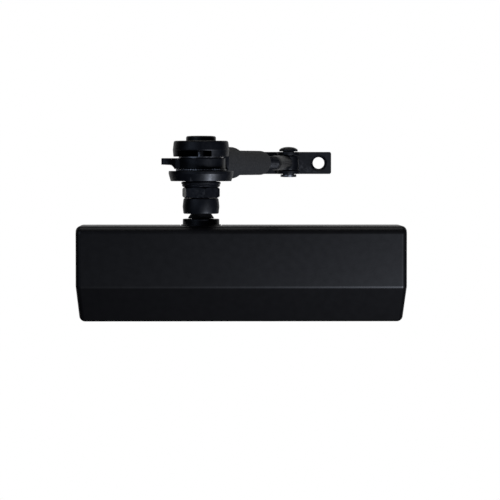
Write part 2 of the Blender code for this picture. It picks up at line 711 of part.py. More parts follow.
def build_cam_plate(material, axis):
    cam = place("cam_plate", prism(cam_outline(), *CAM_Z), material, axis)
    low = CAM_Z[0]
    undercut = [(-30.0, 70.0), (-30.0, low + 1.3), (-25.4, low + 1.3), (-17.6, low + 0.5), (-17.2, 70.0)]
    combine(cam, "DIFFERENCE", prism(undercut, -12.0, 12.0), direction=ALONG_MINUS_Y)
    combine(cam, "DIFFERENCE", rod(STUD_RADIUS + GAP, 70, 84))


def build_elbow_cap(material, axis):
    low, high = CAP_Z
    inner = STUD_NECK_RADIUS + GAP
    profile = [(0.0, high - 0.9), (inner, high - 0.9), (inner, low), (CAP_RADIUS, low), (CAP_RADIUS, high - 1.3),
               (CAP_RADIUS - 0.5, high - 0.5), (CAP_RADIUS - 1.5, high), (0.0, high)]
    place("elbow_cap", turned(profile), material, axis)


# Forearm ------------------------------------------------------------------------------------------


def spine_outline():
    """The curved wall of the head that passes the cam plate's rim."""
    degrees = math.degrees(SPINE_HALF_ANGLE)
    outline = arc((0.0, 0.0), SPINE_RADII[1], -degrees, degrees, 8)
    return outline + arc((0.0, 0.0), SPINE_RADII[0], degrees, -degrees, 8)


def build_forearm_head(material, axis):
    """Built along the forearm, so the window towards the viewer is turned back by the forearm's angle."""
    head = place("forearm_head", rod(HEAD_RADIUS, *HEAD_Z, 0.7), material, axis)
    degrees = math.degrees(SPINE_HALF_ANGLE)
    bridge = arc((0.0, 0.0), SPINE_RADII[1], -degrees, degrees, 8)
    combine(head, "UNION", prism(bridge + [(2.0, 8.0), (2.0, -8.0)], HEAD_WINDOW_TOP_Z, 90.0))
    combine(head, "UNION", prism(spine_outline(), SPINE_LOW_Z, 88.0))
    spigot = rod(SPIGOT_RADIUS, 18.0, SPIGOT_END, 0.6)
    combine(head, "UNION", spigot, (0, 0, FOREARM_Z), ALONG_X)
    window = block(HEAD_WINDOW_X, (-30, 9), (78, HEAD_WINDOW_TOP_Z))
    combine(head, "DIFFERENCE", window, direction=Matrix.Rotation(-FOREARM_ANGLE, 4, "Z"))
    combine(head, "DIFFERENCE", rod(5.2, 70, 100))


def build_elbow_bush(material, axis):
    bush = washer(STUD_NECK_RADIUS + GAP, 4.9, HEAD_WINDOW_TOP_Z + GAP, HEAD_Z[1] - 0.1)
    place("elbow_bush", bush, material, axis)


def build_forearm_sleeve(material, axis):
    big, small = SLEEVE_RADII
    bore = SPIGOT_RADIUS + GAP
    thread_bore = THREAD_RADIUS + GAP
    outer = [(big, SLEEVE_START), (big, SLEEVE_STEP - 4.0)]
    outer += [(big - 0.5, SLEEVE_STEP - 2.0), (small, SLEEVE_STEP)]
    outer += [(small, SLEEVE_END - 2.5), (small - 0.8, SLEEVE_END - 0.8), (small - 2.2, SLEEVE_END)]
    inner = [(thread_bore, SLEEVE_END), (thread_bore, SPIGOT_END + 2.0)]
    inner += [(bore, SPIGOT_END + 1.0), (bore, SLEEVE_START)]
    sleeve = turned(outer + inner, ring=True)
    place("forearm_sleeve", sleeve, material, axis, (0, 0, FOREARM_Z), ALONG_X)


def build_forearm_rod(material, axis):
    eye_at = FOREARM_LENGTH
    profile = [(0, THREAD_START), (THREAD_RADIUS - 0.8, THREAD_START), (THREAD_RADIUS, THREAD_START + 0.8),
               (THREAD_RADIUS, THREAD_END), (SHANK_RADIUS - 0.7, THREAD_END + 0.7), (SHANK_RADIUS, THREAD_END + 2.5),
               (SHANK_RADIUS, eye_at - 9.0), (SHANK_RADIUS - 0.4, eye_at - 6.5), (0, eye_at - 6.5)]
    forearm_rod = place("forearm_rod", turned(profile), material, axis, (0, 0, FOREARM_Z), ALONG_X)
    low, high = FOREARM_Z - EYE_HALF_HEIGHT, FOREARM_Z + EYE_HALF_HEIGHT
    combine(forearm_rod, "UNION", rod(EYE_RADIUS, low, high, 0.5), (eye_at, 0, 0))
    combine(forearm_rod, "DIFFERENCE", rod(5.5, low - 5, high + 5), (eye_at, 0, 0))


def build_eye_bush(material, axis):
    half_height = EYE_HALF_HEIGHT - 0.2
    bush = washer(PIN_RADIUS + GAP, 5.2, FOREARM_Z - half_height, FOREARM_Z + half_height)
    place("eye_bush", bush, material, axis, (FOREARM_LENGTH, 0, 0))


# Frame shoe ---------------------------------------------------------------------------------------


def ear_outline():
    """One ear in plan, about the pin: from inside the plate forwards to a round end."""
    outline = [(EAR_RADIUS, -PIN_Y - 1.0), (-EAR_RADIUS, -PIN_Y - 1.0)]
    return outline + arc((0.0, 0.0), EAR_RADIUS, 180, 360, 12)


def build_shoe_bracket(material, axis):
    outline = rounded_rectangle(SHOE_HALF_LENGTH, SHOE_HALF_HEIGHT, 1.0, 2)
    plate = prism(outline, PIN_Y, PIN_Y + SHOE_THICKNESS)
    bracket = place("shoe_bracket", plate, material, axis, direction=ALONG_MINUS_Y)
    for side in (-1, 1):
        faces = sorted((side * SHOE_HALF_HEIGHT, side * (SHOE_HALF_HEIGHT - EAR_THICKNESS)))
        combine(bracket, "UNION", prism(ear_outline(), *faces))
    for side in (-1, 1):
        hole_at = (side * SHOE_HOLE_REACH, 0.0, 0.0)
        sink = [(0, PIN_Y - 5), (SHOE_HOLE_RADIUS, PIN_Y - 5), (SHOE_HOLE_RADIUS, PIN_Y + 1.0)]
        sink += [(SHOE_SINK_RADIUS, PIN_Y + SHOE_THICKNESS + 0.1)]
        sink += [(SHOE_SINK_RADIUS, PIN_Y + 8), (0, PIN_Y + 8)]
        combine(bracket, "DIFFERENCE", turned(sink), hole_at, ALONG_MINUS_Y)
    combine(bracket, "DIFFERENCE", rod(PIN_RADIUS + GAP, -20, 20))


def build_shoe_pin(material, clip_material, axis):
    top = SHOE_HALF_HEIGHT + GAP
    dome = [(6.6 * math.cos(a), top + 0.6 + 2.6 * math.sin(a)) for a in (0.0, 0.4, 0.8, 1.2)]
    profile = [(0, -10.0), (PIN_RADIUS - 0.5, -10.0), (PIN_RADIUS, -9.5), (PIN_RADIUS, top), (6.6, top)]
    profile += dome + [(0, top + 3.2)]
    place("shoe_pin", turned(profile), material, axis)
    place("pin_clip", washer(PIN_RADIUS + GAP, 5.6, -9.9, -SHOE_HALF_HEIGHT - GAP), clip_material, axis)


def main():
    clear_scene()
    cover_paint = make_material("black_cover_paint", (0.010, 0.011, 0.014), 0.45, 0.0)
    black_steel = make_material("black_arm_steel", (0.020, 0.022, 0.030), 0.38, 0.6)
    grey_casting = make_material("grey_sleeve_casting", (0.045, 0.045, 0.047), 0.75, 0.3)
    bright_steel = make_material("bright_steel", (0.62, 0.62, 0.63), 0.25, 1.0)
    zinc = make_material("zinc_plated_steel", (0.45, 0.46, 0.48), 0.4, 1.0)
    body_casting = make_material("cast_aluminium", (0.35, 0.36, 0.37), 0.55, 0.9)
    bronze = make_material("bronze", (0.50, 0.30, 0.12), 0.4, 1.0)
    rubber = make_material("black_rubber", (0.015, 0.015, 0.015), 0.8, 0.0)

    closer = make_axis("closer")
    spindle_axis = make_axis("spindle_axis", SPINDLE_X, BORE_Y)
    piston_axis = make_axis("piston_axis")
    adjuster_axis = make_axis("adjuster_axis", 0.0, BORE_Y)
    cover_axis = make_axis("cover_axis")
    elbow_axis = make_axis("elbow_axis", SPINDLE_X, ELBOW_Y)
    forearm_axis = make_axis("forearm_axis", SPINDLE_X, ELBOW_Y, turn=FOREARM_ANGLE)
    shoe_axis = make_axis("shoe_axis", PIN_X, PIN_Y, FOREARM_Z)

    build_mounting_plate(zinc, closer)
    build_closer_body(body_casting, closer)
    build_end_plugs(zinc, rubber, closer)
    build_glands_and_bearings(black_steel, bronze, rubber, spindle_axis)
    build_valves(bronze, closer)
    build_body_screws(zinc, closer)
    build_cover_clips(bright_steel, zinc, closer)
    build_cover(cover_paint, cover_axis)

    build_piston(bright_steel, rubber, bronze, piston_axis)
    build_return_spring(bright_steel, piston_axis)
    build_spring_seat(zinc, piston_axis)
    build_spring_adjuster(zinc, adjuster_axis)

    build_pinion_spindle(black_steel, spindle_axis)
    build_main_arm(black_steel, spindle_axis)
    build_arm_screw(black_steel, spindle_axis)

    build_elbow_stud(bright_steel, elbow_axis)
    build_hold_open_nut(black_steel, elbow_axis)
    build_elbow_washers(black_steel, bright_steel, elbow_axis)
    build_ratchet_disc(black_steel, elbow_axis)
    build_serrated_ring(bright_steel, elbow_axis)
    build_cam_plate(black_steel, elbow_axis)
    build_elbow_cap(black_steel, elbow_axis)

    build_forearm_head(black_steel, forearm_axis)
    build_elbow_bush(bronze, forearm_axis)
    build_forearm_sleeve(grey_casting, forearm_axis)
    build_forearm_rod(black_steel, forearm_axis)
    build_eye_bush(bronze, forearm_axis)

    build_shoe_bracket(black_steel, shoe_axis)
    build_shoe_pin(black_steel, zinc, shoe_axis)


main()
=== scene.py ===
"""Looks for the door closer with a hold-open arm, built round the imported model.

Shapes are made in millimetres about their own axis, and become metres where a piece is placed.
Heights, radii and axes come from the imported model's boxes and joints. Small edge radii and surface
detail are set here.
"""

import json
from math import acos, asin, atan2, copysign, cos, degrees, hypot, pi, radians, sin, sqrt, tan, tau

import bmesh
import bpy
from mathutils import Matrix, Vector


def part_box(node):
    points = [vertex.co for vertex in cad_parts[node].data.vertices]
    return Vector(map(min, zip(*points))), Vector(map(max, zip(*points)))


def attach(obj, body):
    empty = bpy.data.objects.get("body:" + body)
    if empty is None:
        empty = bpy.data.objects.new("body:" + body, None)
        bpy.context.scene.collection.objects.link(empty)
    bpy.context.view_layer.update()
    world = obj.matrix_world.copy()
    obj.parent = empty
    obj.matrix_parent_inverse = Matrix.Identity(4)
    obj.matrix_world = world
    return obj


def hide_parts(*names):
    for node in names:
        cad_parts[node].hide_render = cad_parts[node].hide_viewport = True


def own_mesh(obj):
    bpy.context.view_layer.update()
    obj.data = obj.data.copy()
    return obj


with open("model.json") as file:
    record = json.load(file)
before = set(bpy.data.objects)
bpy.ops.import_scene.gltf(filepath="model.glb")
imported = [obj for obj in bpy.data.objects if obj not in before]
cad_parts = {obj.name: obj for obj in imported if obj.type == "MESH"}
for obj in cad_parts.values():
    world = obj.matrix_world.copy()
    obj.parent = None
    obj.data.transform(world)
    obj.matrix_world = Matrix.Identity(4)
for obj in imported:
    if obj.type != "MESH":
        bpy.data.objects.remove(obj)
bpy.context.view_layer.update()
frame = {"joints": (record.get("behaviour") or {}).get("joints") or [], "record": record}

MM = 0.001
ROUND_STEPS = 96
WIDE_STEPS = 128  # for the widest round pieces
SMALL_STEPS = 64
SIDES = (-1, 1)
NAMED_SIDES = (("left", -1), ("right", 1))
SHARP_ANGLE = radians(30)
WELD = 0.01  # millimetres

JOINTS = {joint["name"]: joint for joint in frame["joints"]}
BODIES = frame["record"]["behaviour"]["bodies"]
BODY_OF = {node: body for body, nodes in BODIES.items() for node in nodes}
SPINDLE = Vector(JOINTS["spindle_turn"]["pos_m"]) / MM
ELBOW = Vector(JOINTS["elbow_swing"]["pos_m"]) / MM
PIN = Vector(JOINTS["shoe_pivot"]["pos_m"]) / MM
FOREARM_DIRECTION = Vector(JOINTS["rod_extend"]["axis"])
FOREARM_ANGLE = atan2(FOREARM_DIRECTION.y, FOREARM_DIRECTION.x)
FOREARM_LENGTH = (PIN - ELBOW).to_2d().length

# How a shape's own Z is laid along the row's axes
ALONG_X = Matrix.Rotation(radians(90), 4, "Y")
ALONG_MINUS_X = Matrix.Rotation(radians(-90), 4, "Y")
ALONG_MINUS_Y = Matrix.Rotation(radians(90), 4, "X")
SECTION_ALONG_X = Matrix(((0, 0, 1, 0), (1, 0, 0, 0), (0, 1, 0, 0), (0, 0, 0, 1)))


def box_mm(node):
    low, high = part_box(node)
    return low / MM, high / MM


def stack(node):
    """The lowest and highest Z of an upright round node, and its radius, in millimetres."""
    low, high = box_mm(node)
    return low.z, high.z, (high.x - low.x) / 2


# Outlines and shapes


def arc(centre, radius, start_deg, end_deg, steps):
    turns = [radians(start_deg + (end_deg - start_deg) * i / steps) for i in range(steps + 1)]
    return [(centre[0] + radius * cos(a), centre[1] + radius * sin(a)) for a in turns]


def angles(count):
    return [tau * i / count for i in range(count)]


def rounded_corner(before, corner, after, radius, steps):
    """Points on the arc that replaces one corner of an outline."""
    back, ahead = before - corner, after - corner
    turn = pi - back.angle(ahead, pi)
    if radius <= 0 or turn < radians(4):
        return [corner]
    trim = min(radius * tan(turn / 2), 0.48 * back.length, 0.48 * ahead.length)
    start, end = corner + back.normalized() * trim, corner + ahead.normalized() * trim
    middle = (start + end) / 2
    reach = trim / tan(turn / 2)
    inwards = (middle - corner).normalized()
    centre = corner + inwards * hypot(trim, reach)
    points = []
    for i in range(steps + 1):
        chord = start.lerp(end, tan((i / steps - 0.5) * turn) / (2 * tan(turn / 2)) + 0.5)
        points.append(centre + (chord - centre).normalized() * reach)
    return points


def rounded(outline, radius, steps=4, closed=True):
    """An outline with its corners rounded. Radius is one number, or one for each corner."""
    corners = [Vector(point) for point in outline]
    radii = radius if isinstance(radius, (list, tuple)) else [radius] * len(corners)
    points = []
    for i, corner in enumerate(corners):
        if not closed and i in (0, len(corners) - 1):
            points.append(corner)
            continue
        after = corners[(i + 1) % len(corners)]
        points += rounded_corner(corners[i - 1], corner, after, radii[i], steps)
    return [tuple(point) for point in points]


def inset(outline, distance):
    """A counter-clockwise outline moved inwards."""
    if not distance:
        return list(outline)
    moved = []
    count = len(outline)
    for i in range(count):
        here = Vector(outline[i])
        along = (here - Vector(outline[i - 1])).normalized()
        onward = (Vector(outline[(i + 1) % count]) - here).normalized()
        normal = Vector((-along.y - onward.y, along.x + onward.x)).normalized()
        stretch = max(0.5, normal.dot(Vector((-along.y, along.x))))
        moved.append(tuple(here + normal * (distance / stretch)))
    return moved


def rectangle(half_width, half_height, radius=0.0, steps=6):
    corners = [(-half_width, -half_height), (half_width, -half_height), (half_width, half_height)]
    corners.append((-half_width, half_height))
    return rounded(corners, radius, steps) if radius else corners


def hexagon(across_flats, turn=0.0):
    radius = across_flats / sqrt(3)
    corners = [turn + radians(60 * i) for i in range(6)]
    return [(radius * cos(a), radius * sin(a)) for a in corners]


def lofted(rings):
    """Rings of points, each as (x, y, z), joined in order and closed at both ends."""
    shape = bmesh.new()
    loops = [[shape.verts.new(point) for point in ring] for ring in rings]
    for first, second in zip(loops, loops[1:]):
        for i in range(len(first)):
            j = (i + 1) % len(first)
            shape.faces.new((first[i], first[j], second[j], second[i]))
    shape.faces.new(list(reversed(loops[0])))
    shape.faces.new(loops[-1])
    return shape


def rims(low, high, edge, steps=3):
    """Heights and insets for a slab whose two rims are rounded."""
    turns = [radians(90 * i / steps) for i in range(steps + 1)]
    bottom = [(low + edge * (1 - cos(a)), edge * (1 - sin(a))) for a in turns]
    top = [(high - edge * (1 - cos(a)), edge * (1 - sin(a))) for a in reversed(turns)]
    return bottom + top


def slab(outline, levels):
    """An outline lofted through (height, inset) levels."""
    return lofted([[(x, y, height) for x, y in inset(outline, amount)] for height, amount in levels])


def prism(outline, low, high):
    return slab(outline, [(low, 0.0), (high, 0.0)])


def turned(profile, ring=False, steps=ROUND_STEPS):
    """A profile of (radius, height) points turned about Z. A ring's profile closes on itself."""
    shape = bmesh.new()
    points = [shape.verts.new((radius, 0.0, height)) for radius, height in profile]
    pairs = list(zip(points, points[1:]))
    if ring:
        pairs.append((points[-1], points[0]))
    edges = [shape.edges.new(pair) for pair in pairs]
    geom = points + edges
    axis = (0.0, 0.0, 1.0)
    bmesh.ops.spin(shape, geom=geom, cent=(0, 0, 0), axis=axis, angle=tau, steps=steps, use_merge=True)
    bmesh.ops.remove_doubles(shape, verts=shape.verts, dist=1e-4)
    return shape


def spun(corners, radius, steps=4, ring=False, around=ROUND_STEPS):
    """A profile with its corners rounded, turned about Z."""
    return turned(rounded(corners, radius, steps, closed=ring), ring, around)


def rod(radius, low, high, edge=0.0):
    """A round bar along Z with rounded rims."""
    return spun([(0.0, low), (radius, low), (radius, high), (0.0, high)], edge, 3)


def washer(inner, outer, low, high, edge):
    return spun([(inner, low), (outer, low), (outer, high), (inner, high)], edge, 3, ring=True)


def hole(radius, low, high, edge, past=5.0):
    """A cutter for a round hole through a wall, which also chamfers both of its rims by edge."""
    wide = radius + edge + 0.5
    profile = [(0.0, low - past), (wide, low - past), (wide, low - 0.5), (radius, low + edge)]
    profile += [(radius, high - edge), (wide, high + 0.5), (wide, high + past), (0.0, high + past)]
    return turned(profile)


# Pieces

SLOT_MATERIALS = {}
FINE = ".fine"


def place(node, shape, slot, location=(0.0, 0.0, 0.0), direction=Matrix()):
    """A shape in millimetres, put in the row frame in metres, for a node of the model."""
    name = node + FINE
    bmesh.ops.recalc_face_normals(shape, faces=shape.faces)
    if shape.calc_volume(signed=True) < 0:
        bmesh.ops.reverse_faces(shape, faces=shape.faces)
    mesh = bpy.data.meshes.new(name)
    shape.to_mesh(mesh)
    shape.free()
    mesh.transform(Matrix.Scale(MM, 4) @ Matrix.Translation(Vector(location)) @ direction)
    mesh.materials.append(SLOT_MATERIALS[slot])
    piece = bpy.data.objects.new(name, mesh)
    piece["slot"] = slot
    bpy.context.scene.collection.objects.link(piece)
    return piece


def combine(piece, operation, shape, *where):
    """Joins a shape to a piece or cuts it out. Where is a location and a direction, as in place."""
    helper = place("helper", shape, piece["slot"], *where)
    modifier = piece.modifiers.new(operation.lower(), "BOOLEAN")
    modifier.operation = operation
    modifier.object = helper
    apply_modifiers(piece)
    bpy.data.objects.remove(helper)


def join(piece, shape, *where):
    combine(piece, "UNION", shape, *where)


def cut(piece, shape, *where):
    combine(piece, "DIFFERENCE", shape, *where)


def apply_modifiers(piece):
    graph = bpy.context.evaluated_depsgraph_get()
    before = piece.data
    piece.data = bpy.data.meshes.new_from_object(piece.evaluated_get(graph))
    piece.modifiers.clear()
    bpy.data.meshes.remove(before)


def soften(piece, width, segments=2, angle=40.0):
    """Rounds the edges that are sharper than angle."""
    bevel = piece.modifiers.new("edges", "BEVEL")
    bevel.width = width * MM
    bevel.segments = segments
    bevel.limit_method = "ANGLE"
    bevel.angle_limit = radians(angle)
    apply_modifiers(piece)


def close_seams(mesh):
    """Welds points that a cut left split, fills what is still open and drops bare edges."""
    shape = bmesh.new()
    shape.from_mesh(mesh)
    if any(len(edge.link_faces) < 2 for edge in shape.edges):
        bmesh.ops.remove_doubles(shape, verts=shape.verts, dist=WELD * MM)
        borders = [edge for edge in shape.edges if edge.is_boundary]
        bmesh.ops.holes_fill(shape, edges=borders, sides=0)
        bare = [edge for edge in shape.edges if edge.is_wire]
        bmesh.ops.delete(shape, geom=bare, context="EDGES")
        shape.to_mesh(mesh)
    shape.free()


def stand_for_node(piece):
    """Closes and shades a finished piece, and lets it take the place of its CAD node."""
    node = piece.name.removesuffix(FINE)
    close_seams(piece.data)
    piece.data.shade_smooth()
    piece.data.set_sharp_from_angle(angle=SHARP_ANGLE)
    normals = piece.modifiers.new("normals", "WEIGHTED_NORMAL")
    normals.keep_sharp = True
    apply_modifiers(piece)
    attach(piece, BODY_OF[node])
    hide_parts(node)
    return piece


def made(node, shape, slot, *where):
    """A piece that needs no cuts."""
    return stand_for_node(place(node, shape, slot, *where))


AT_SPINDLE = (SPINDLE.x, SPINDLE.y, 0.0)
AT_ELBOW = (ELBOW.x, ELBOW.y, 0.0)
AT_PIN = (PIN.x, PIN.y, 0.0)


# Materials


class Nodes:
    """A new material's node tree, with the few kinds of node that the finishes use."""

    def __init__(self, name, colour, roughness, metallic=0.0, specular=0.5):
        self.material = bpy.data.materials.new(name)
        self.material.use_nodes = True
        self.tree = self.material.node_tree
        self.shader = self.tree.nodes["Principled BSDF"]
        self.shader.inputs["Base Color"].default_value = (*colour, 1.0)
        self.shader.inputs["Roughness"].default_value = roughness
        self.shader.inputs["Metallic"].default_value = metallic
        self.shader.inputs["Specular IOR Level"].default_value = specular
        self.place = self.new("TexCoord").outputs["Object"]
        self.height = None

    def new(self, kind):
        return self.tree.nodes.new("ShaderNode" + kind)

    def link(self, source, target):
        self.tree.links.new(source, target)

    def noise(self, size, detail=3.0, stretch=(1.0, 1.0, 1.0)):
        """Noise whose features are about size millimetres across."""
        mapping = self.new("Mapping")
        mapping.inputs["Scale"].default_value = [amount / (size * MM) for amount in stretch]
        noise = self.new("TexNoise")
        noise.inputs["Scale"].default_value = 1.0
        noise.inputs["Detail"].default_value = detail
        self.link(self.place, mapping.inputs["Vector"])
        self.link(mapping.outputs["Vector"], noise.inputs["Vector"])
        return noise.outputs["Fac"]

    def spread(self, value, start, end, low, high):
        """A value from start to end becomes one from low to high."""
        node = self.new("MapRange")
        for socket, amount in zip(("From Min", "From Max", "To Min", "To Max"), (start, end, low, high)):
            node.inputs[socket].default_value = amount
        self.link(value, node.inputs["Value"])
        return node.outputs["Result"]

    def wear(self, start, end, colour):
        """Tints worn outer edges, broken up by noise."""
        pointiness = self.new("NewGeometry").outputs["Pointiness"]
        sharp = self.spread(pointiness, start, end, 0.0, 1.0)
        product = self.new("Math")
        product.operation = "MULTIPLY"
        self.link(sharp, product.inputs[0])
        self.link(self.spread(self.noise(1.8, 4.0), 0.42, 0.66, 0.0, 1.0), product.inputs[1])
        self.tint(product.outputs["Value"], colour)

    def patches(self, size, detail, start, end, most, colour, stretch=(1.0, 1.0, 1.0)):
        """Tints the noise's patches between start and end, by at most the given share."""
        self.tint(self.spread(self.noise(size, detail, stretch), start, end, 0.0, most), colour)

    def tint(self, amount, colour):
        """Mixes another colour into the base colour by amount, over what is there."""
        mix = self.new("Mix")
        mix.data_type = "RGBA"
        base = self.shader.inputs["Base Color"]
        if base.links:
            self.link(base.links[0].from_socket, mix.inputs["A"])
        else:
            mix.inputs["A"].default_value = base.default_value
        mix.inputs["B"].default_value = (*colour, 1.0)
        self.link(amount, mix.inputs["Factor"])
        self.link(mix.outputs["Result"], base)

    def roughness(self, size, detail, low, high):
        """Uneven roughness, from low to high."""
        value = self.spread(self.noise(size, detail), 0.3, 0.7, low, high)
        self.link(value, self.shader.inputs["Roughness"])

    def bump(self, size, detail, depth, strength=1.0, stretch=(1.0, 1.0, 1.0)):
        """Raises the surface by up to depth millimetres of noise, on top of any bump before it."""
        value = self.noise(size, detail, stretch)
        bump = self.new("Bump")
        bump.inputs["Strength"].default_value = strength
        bump.inputs["Distance"].default_value = depth * MM
        self.link(value, bump.inputs["Height"])
        if self.height:
            self.link(self.height, bump.inputs["Normal"])
        self.height = bump.outputs["Normal"]
        self.link(self.height, self.shader.inputs["Normal"])


def cover_paint():
    """Satin black powder coat: a fine orange peel with faint dust."""
    nodes = Nodes("cover_paint", (0.0068, 0.0063, 0.0068), 0.37)
    nodes.bump(0.9, 2.0, 0.010)
    nodes.bump(14.0, 2.0, 0.05, 0.35)
    nodes.roughness(5.0, 4.0, 0.36, 0.40)
    nodes.patches(0.35, 2.0, 0.62, 0.80, 0.5, (0.014, 0.014, 0.015))
    nodes.wear(0.54, 0.62, (0.05, 0.05, 0.052))
    return nodes.material


def arm_black():
    """Black-finished forged steel: slightly uneven, a little blue, rubbed at its edges."""
    nodes = Nodes("arm_black", (0.0036, 0.0044, 0.0070), 0.40)
    nodes.bump(0.7, 4.0, 0.012)
    nodes.bump(5.0, 3.0, 0.05, 0.5)
    nodes.roughness(2.5, 5.0, 0.36, 0.48)
    nodes.patches(3.0, 4.0, 0.45, 0.75, 0.6, (0.0080, 0.0098, 0.0150))
    nodes.wear(0.53, 0.60, (0.06, 0.06, 0.065))
    return nodes.material


def sleeve_grey():
    """Dark grey sand casting, matt and fine-grained."""
    nodes = Nodes("sleeve_grey", (0.036, 0.036, 0.037), 0.72, 0.15, 0.35)
    nodes.bump(0.45, 5.0, 0.06, 0.8)
    nodes.bump(2.6, 3.0, 0.10, 0.5)
    nodes.roughness(1.2, 4.0, 0.62, 0.82)
    nodes.patches(1.5, 5.0, 0.40, 0.72, 0.7, (0.070, 0.070, 0.071))
    nodes.wear(0.54, 0.62, (0.15, 0.15, 0.15))
    return nodes.material


def bright_steel():
    """Machined steel with fine turning marks and a trace of oil."""
    nodes = Nodes("bright_steel", (0.50, 0.50, 0.51), 0.34, 1.0)
    nodes.bump(0.9, 3.0, 0.006, stretch=(0.15, 0.15, 6.0))
    nodes.roughness(1.6, 5.0, 0.28, 0.42)
    nodes.patches(4.0, 4.0, 0.50, 0.80, 0.5, (0.36, 0.35, 0.34))
    return nodes.material


def zinc_steel():
    """Zinc plate: pale, slightly milky, with a faint crystal mottle."""
    nodes = Nodes("zinc_steel", (0.52, 0.53, 0.55), 0.38, 1.0)
    nodes.bump(0.5, 3.0, 0.008)
    nodes.roughness(3.0, 5.0, 0.30, 0.50)
    nodes.patches(6.0, 3.0, 0.40, 0.70, 0.5, (0.40, 0.42, 0.44))
    nodes.wear(0.53, 0.60, (0.70, 0.70, 0.70))
    return nodes.material


def cast_aluminium():
    """Die cast aluminium: a grainy skin with flow marks."""
    nodes = Nodes("cast_aluminium", (0.42, 0.43, 0.44), 0.52, 0.9)
    nodes.bump(0.5, 5.0, 0.05, 0.8)
    nodes.bump(7.0, 3.0, 0.12, 0.5)
    nodes.roughness(2.0, 5.0, 0.44, 0.64)
    nodes.patches(8.0, 5.0, 0.42, 0.70, 0.6, (0.33, 0.34, 0.35), (0.4, 1.0, 1.0))
    nodes.wear(0.53, 0.60, (0.62, 0.62, 0.62))
    return nodes.material


def bronze():
    """Sintered bronze: fine pores and a dull skin."""
    nodes = Nodes("bronze", (0.46, 0.27, 0.11), 0.42, 1.0)
    nodes.bump(0.3, 3.0, 0.02)
    nodes.roughness(1.5, 4.0, 0.34, 0.55)
    nodes.patches(0.5, 3.0, 0.55, 0.70, 0.8, (0.20, 0.11, 0.05))
    return nodes.material


def rubber():
    """Moulded black rubber with a dusty skin."""
    nodes = Nodes("rubber", (0.012, 0.012, 0.012), 0.78, 0.0, 0.4)
    nodes.bump(0.4, 3.0, 0.02)
    nodes.roughness(2.0, 4.0, 0.68, 0.88)
    nodes.patches(1.0, 4.0, 0.50, 0.80, 0.5, (0.030, 0.029, 0.028))
    return nodes.material


for finish in (cover_paint, arm_black, sleeve_grey, bright_steel, zinc_steel, cast_aluminium, bronze, rubber):
    SLOT_MATERIALS[finish.__name__] = finish()


# Cover

COVER_WALL = 2.2
COVER_END_WALL = 2.8
COVER_TOP_RADIUS = 5.9
COVER_END_RADIUS = 3.8
COVER_CREASE_Z = -9.3
COVER_CREASE_RADIUS = 4.0
COVER_SLOPE_BACK = 15.0
COVER_BOTTOM_RADIUS = 3.0
COVER_END_TAPER = 2.3
COVER_NOTCH_RADIUS = 14.6
COVER_NOTCH_FLOOR = 27.0


def cover_section(amount, back_y):
    """The cover's section in depth and height, moved inwards by amount."""
    low, high = box_mm("cover")
    slope = atan2(COVER_SLOPE_BACK, COVER_CREASE_Z - low.z)
    bottom, top = low.z + amount, high.z - amount
    front = low.y + amount
    crease_z = COVER_CREASE_Z + amount * tan(slope / 2)
    corners = [(back_y, top), (front, top), (front, crease_z)]
    foot_y = front + (crease_z - bottom) * tan(slope)
    corners += [(foot_y, bottom), (back_y, bottom), (back_y, crease_z)]
    top_radius = max(0.4, COVER_TOP_RADIUS - amount)
    bottom_radius = max(0.4, COVER_BOTTOM_RADIUS - amount)
    radii = [0.0, top_radius, max(0.4, COVER_CREASE_RADIUS - amount), bottom_radius, 0.0, 0.0]
    return rounded(corners, radii, 10)


def cover_loft(wall, end_wall, end_radius, back_y):
    """The section lofted along X between rounded ends, which draw in below the crease."""
    low, high = box_mm("cover")
    half_length = high.x - end_wall
    turns = [radians(90 * i / 8) for i in range(9)]
    centre = half_length - end_radius
    stations = [(centre + end_radius * sin(a), end_radius * (1 - cos(a))) for a in turns]
    stations = [(-x, amount) for x, amount in reversed(stations)] + stations
    drop = COVER_CREASE_Z - low.z
    rings = []
    for x, amount in stations:
        ring = []
        for y, z in cover_section(wall + amount, back_y):
            drawn_in = COVER_END_TAPER * max(0.0, COVER_CREASE_Z - z) / drop
            ring.append((x - copysign(drawn_in, x), y, z))
        rings.append(ring)
    return lofted(rings)


def build_cover():
    cover = place("cover", cover_loft(0.0, 0.0, COVER_END_RADIUS, 8.0), "cover_paint")
    cut(cover, cover_loft(COVER_WALL, COVER_END_WALL, 0.4, 20.0))
    cut(cover, prism([(-150, 0), (150, 0), (150, 30), (-150, 30)], -60, 60))
    notch = [(SPINDLE.x + COVER_NOTCH_RADIUS, 10.0), (SPINDLE.x - COVER_NOTCH_RADIUS, 10.0)]
    notch += arc((SPINDLE.x, SPINDLE.y), COVER_NOTCH_RADIUS, 180, 360, 48)
    cut(cover, prism(notch, COVER_NOTCH_FLOOR, 40.0))
    stand_for_node(cover)


# Elbow stack, from the arm upwards

STUD_RADIUS = 6.0
STUD_NECK_RADIUS = 3.45
FIT = 0.3
CLOSE = 0.27  # added to the elbow stack's shapes so that no light shows between them
CAM_RISE = 0.45  # the cam plate's top is this much above its solid's, and the washer on it is thinner
CAM_DROP = 0.9  # its underside is this much below, and the serrated ring is thinner
NUT_ACROSS_FLATS = 22.0
NUT_TURN = radians(41)
SERRATIONS = 60
CAM_TAB_HALF_WIDTH = 6.5


def build_elbow_stud():
    low, high, radius = stack("elbow_stud")
    neck_z = stack("friction_washer")[0]
    profile = [(0, low), (radius, low), (radius, neck_z), (STUD_NECK_RADIUS, neck_z)]
    profile += [(STUD_NECK_RADIUS, high), (0, high)]
    made("elbow_stud", spun(profile, 0.4, 3), "bright_steel", AT_ELBOW)


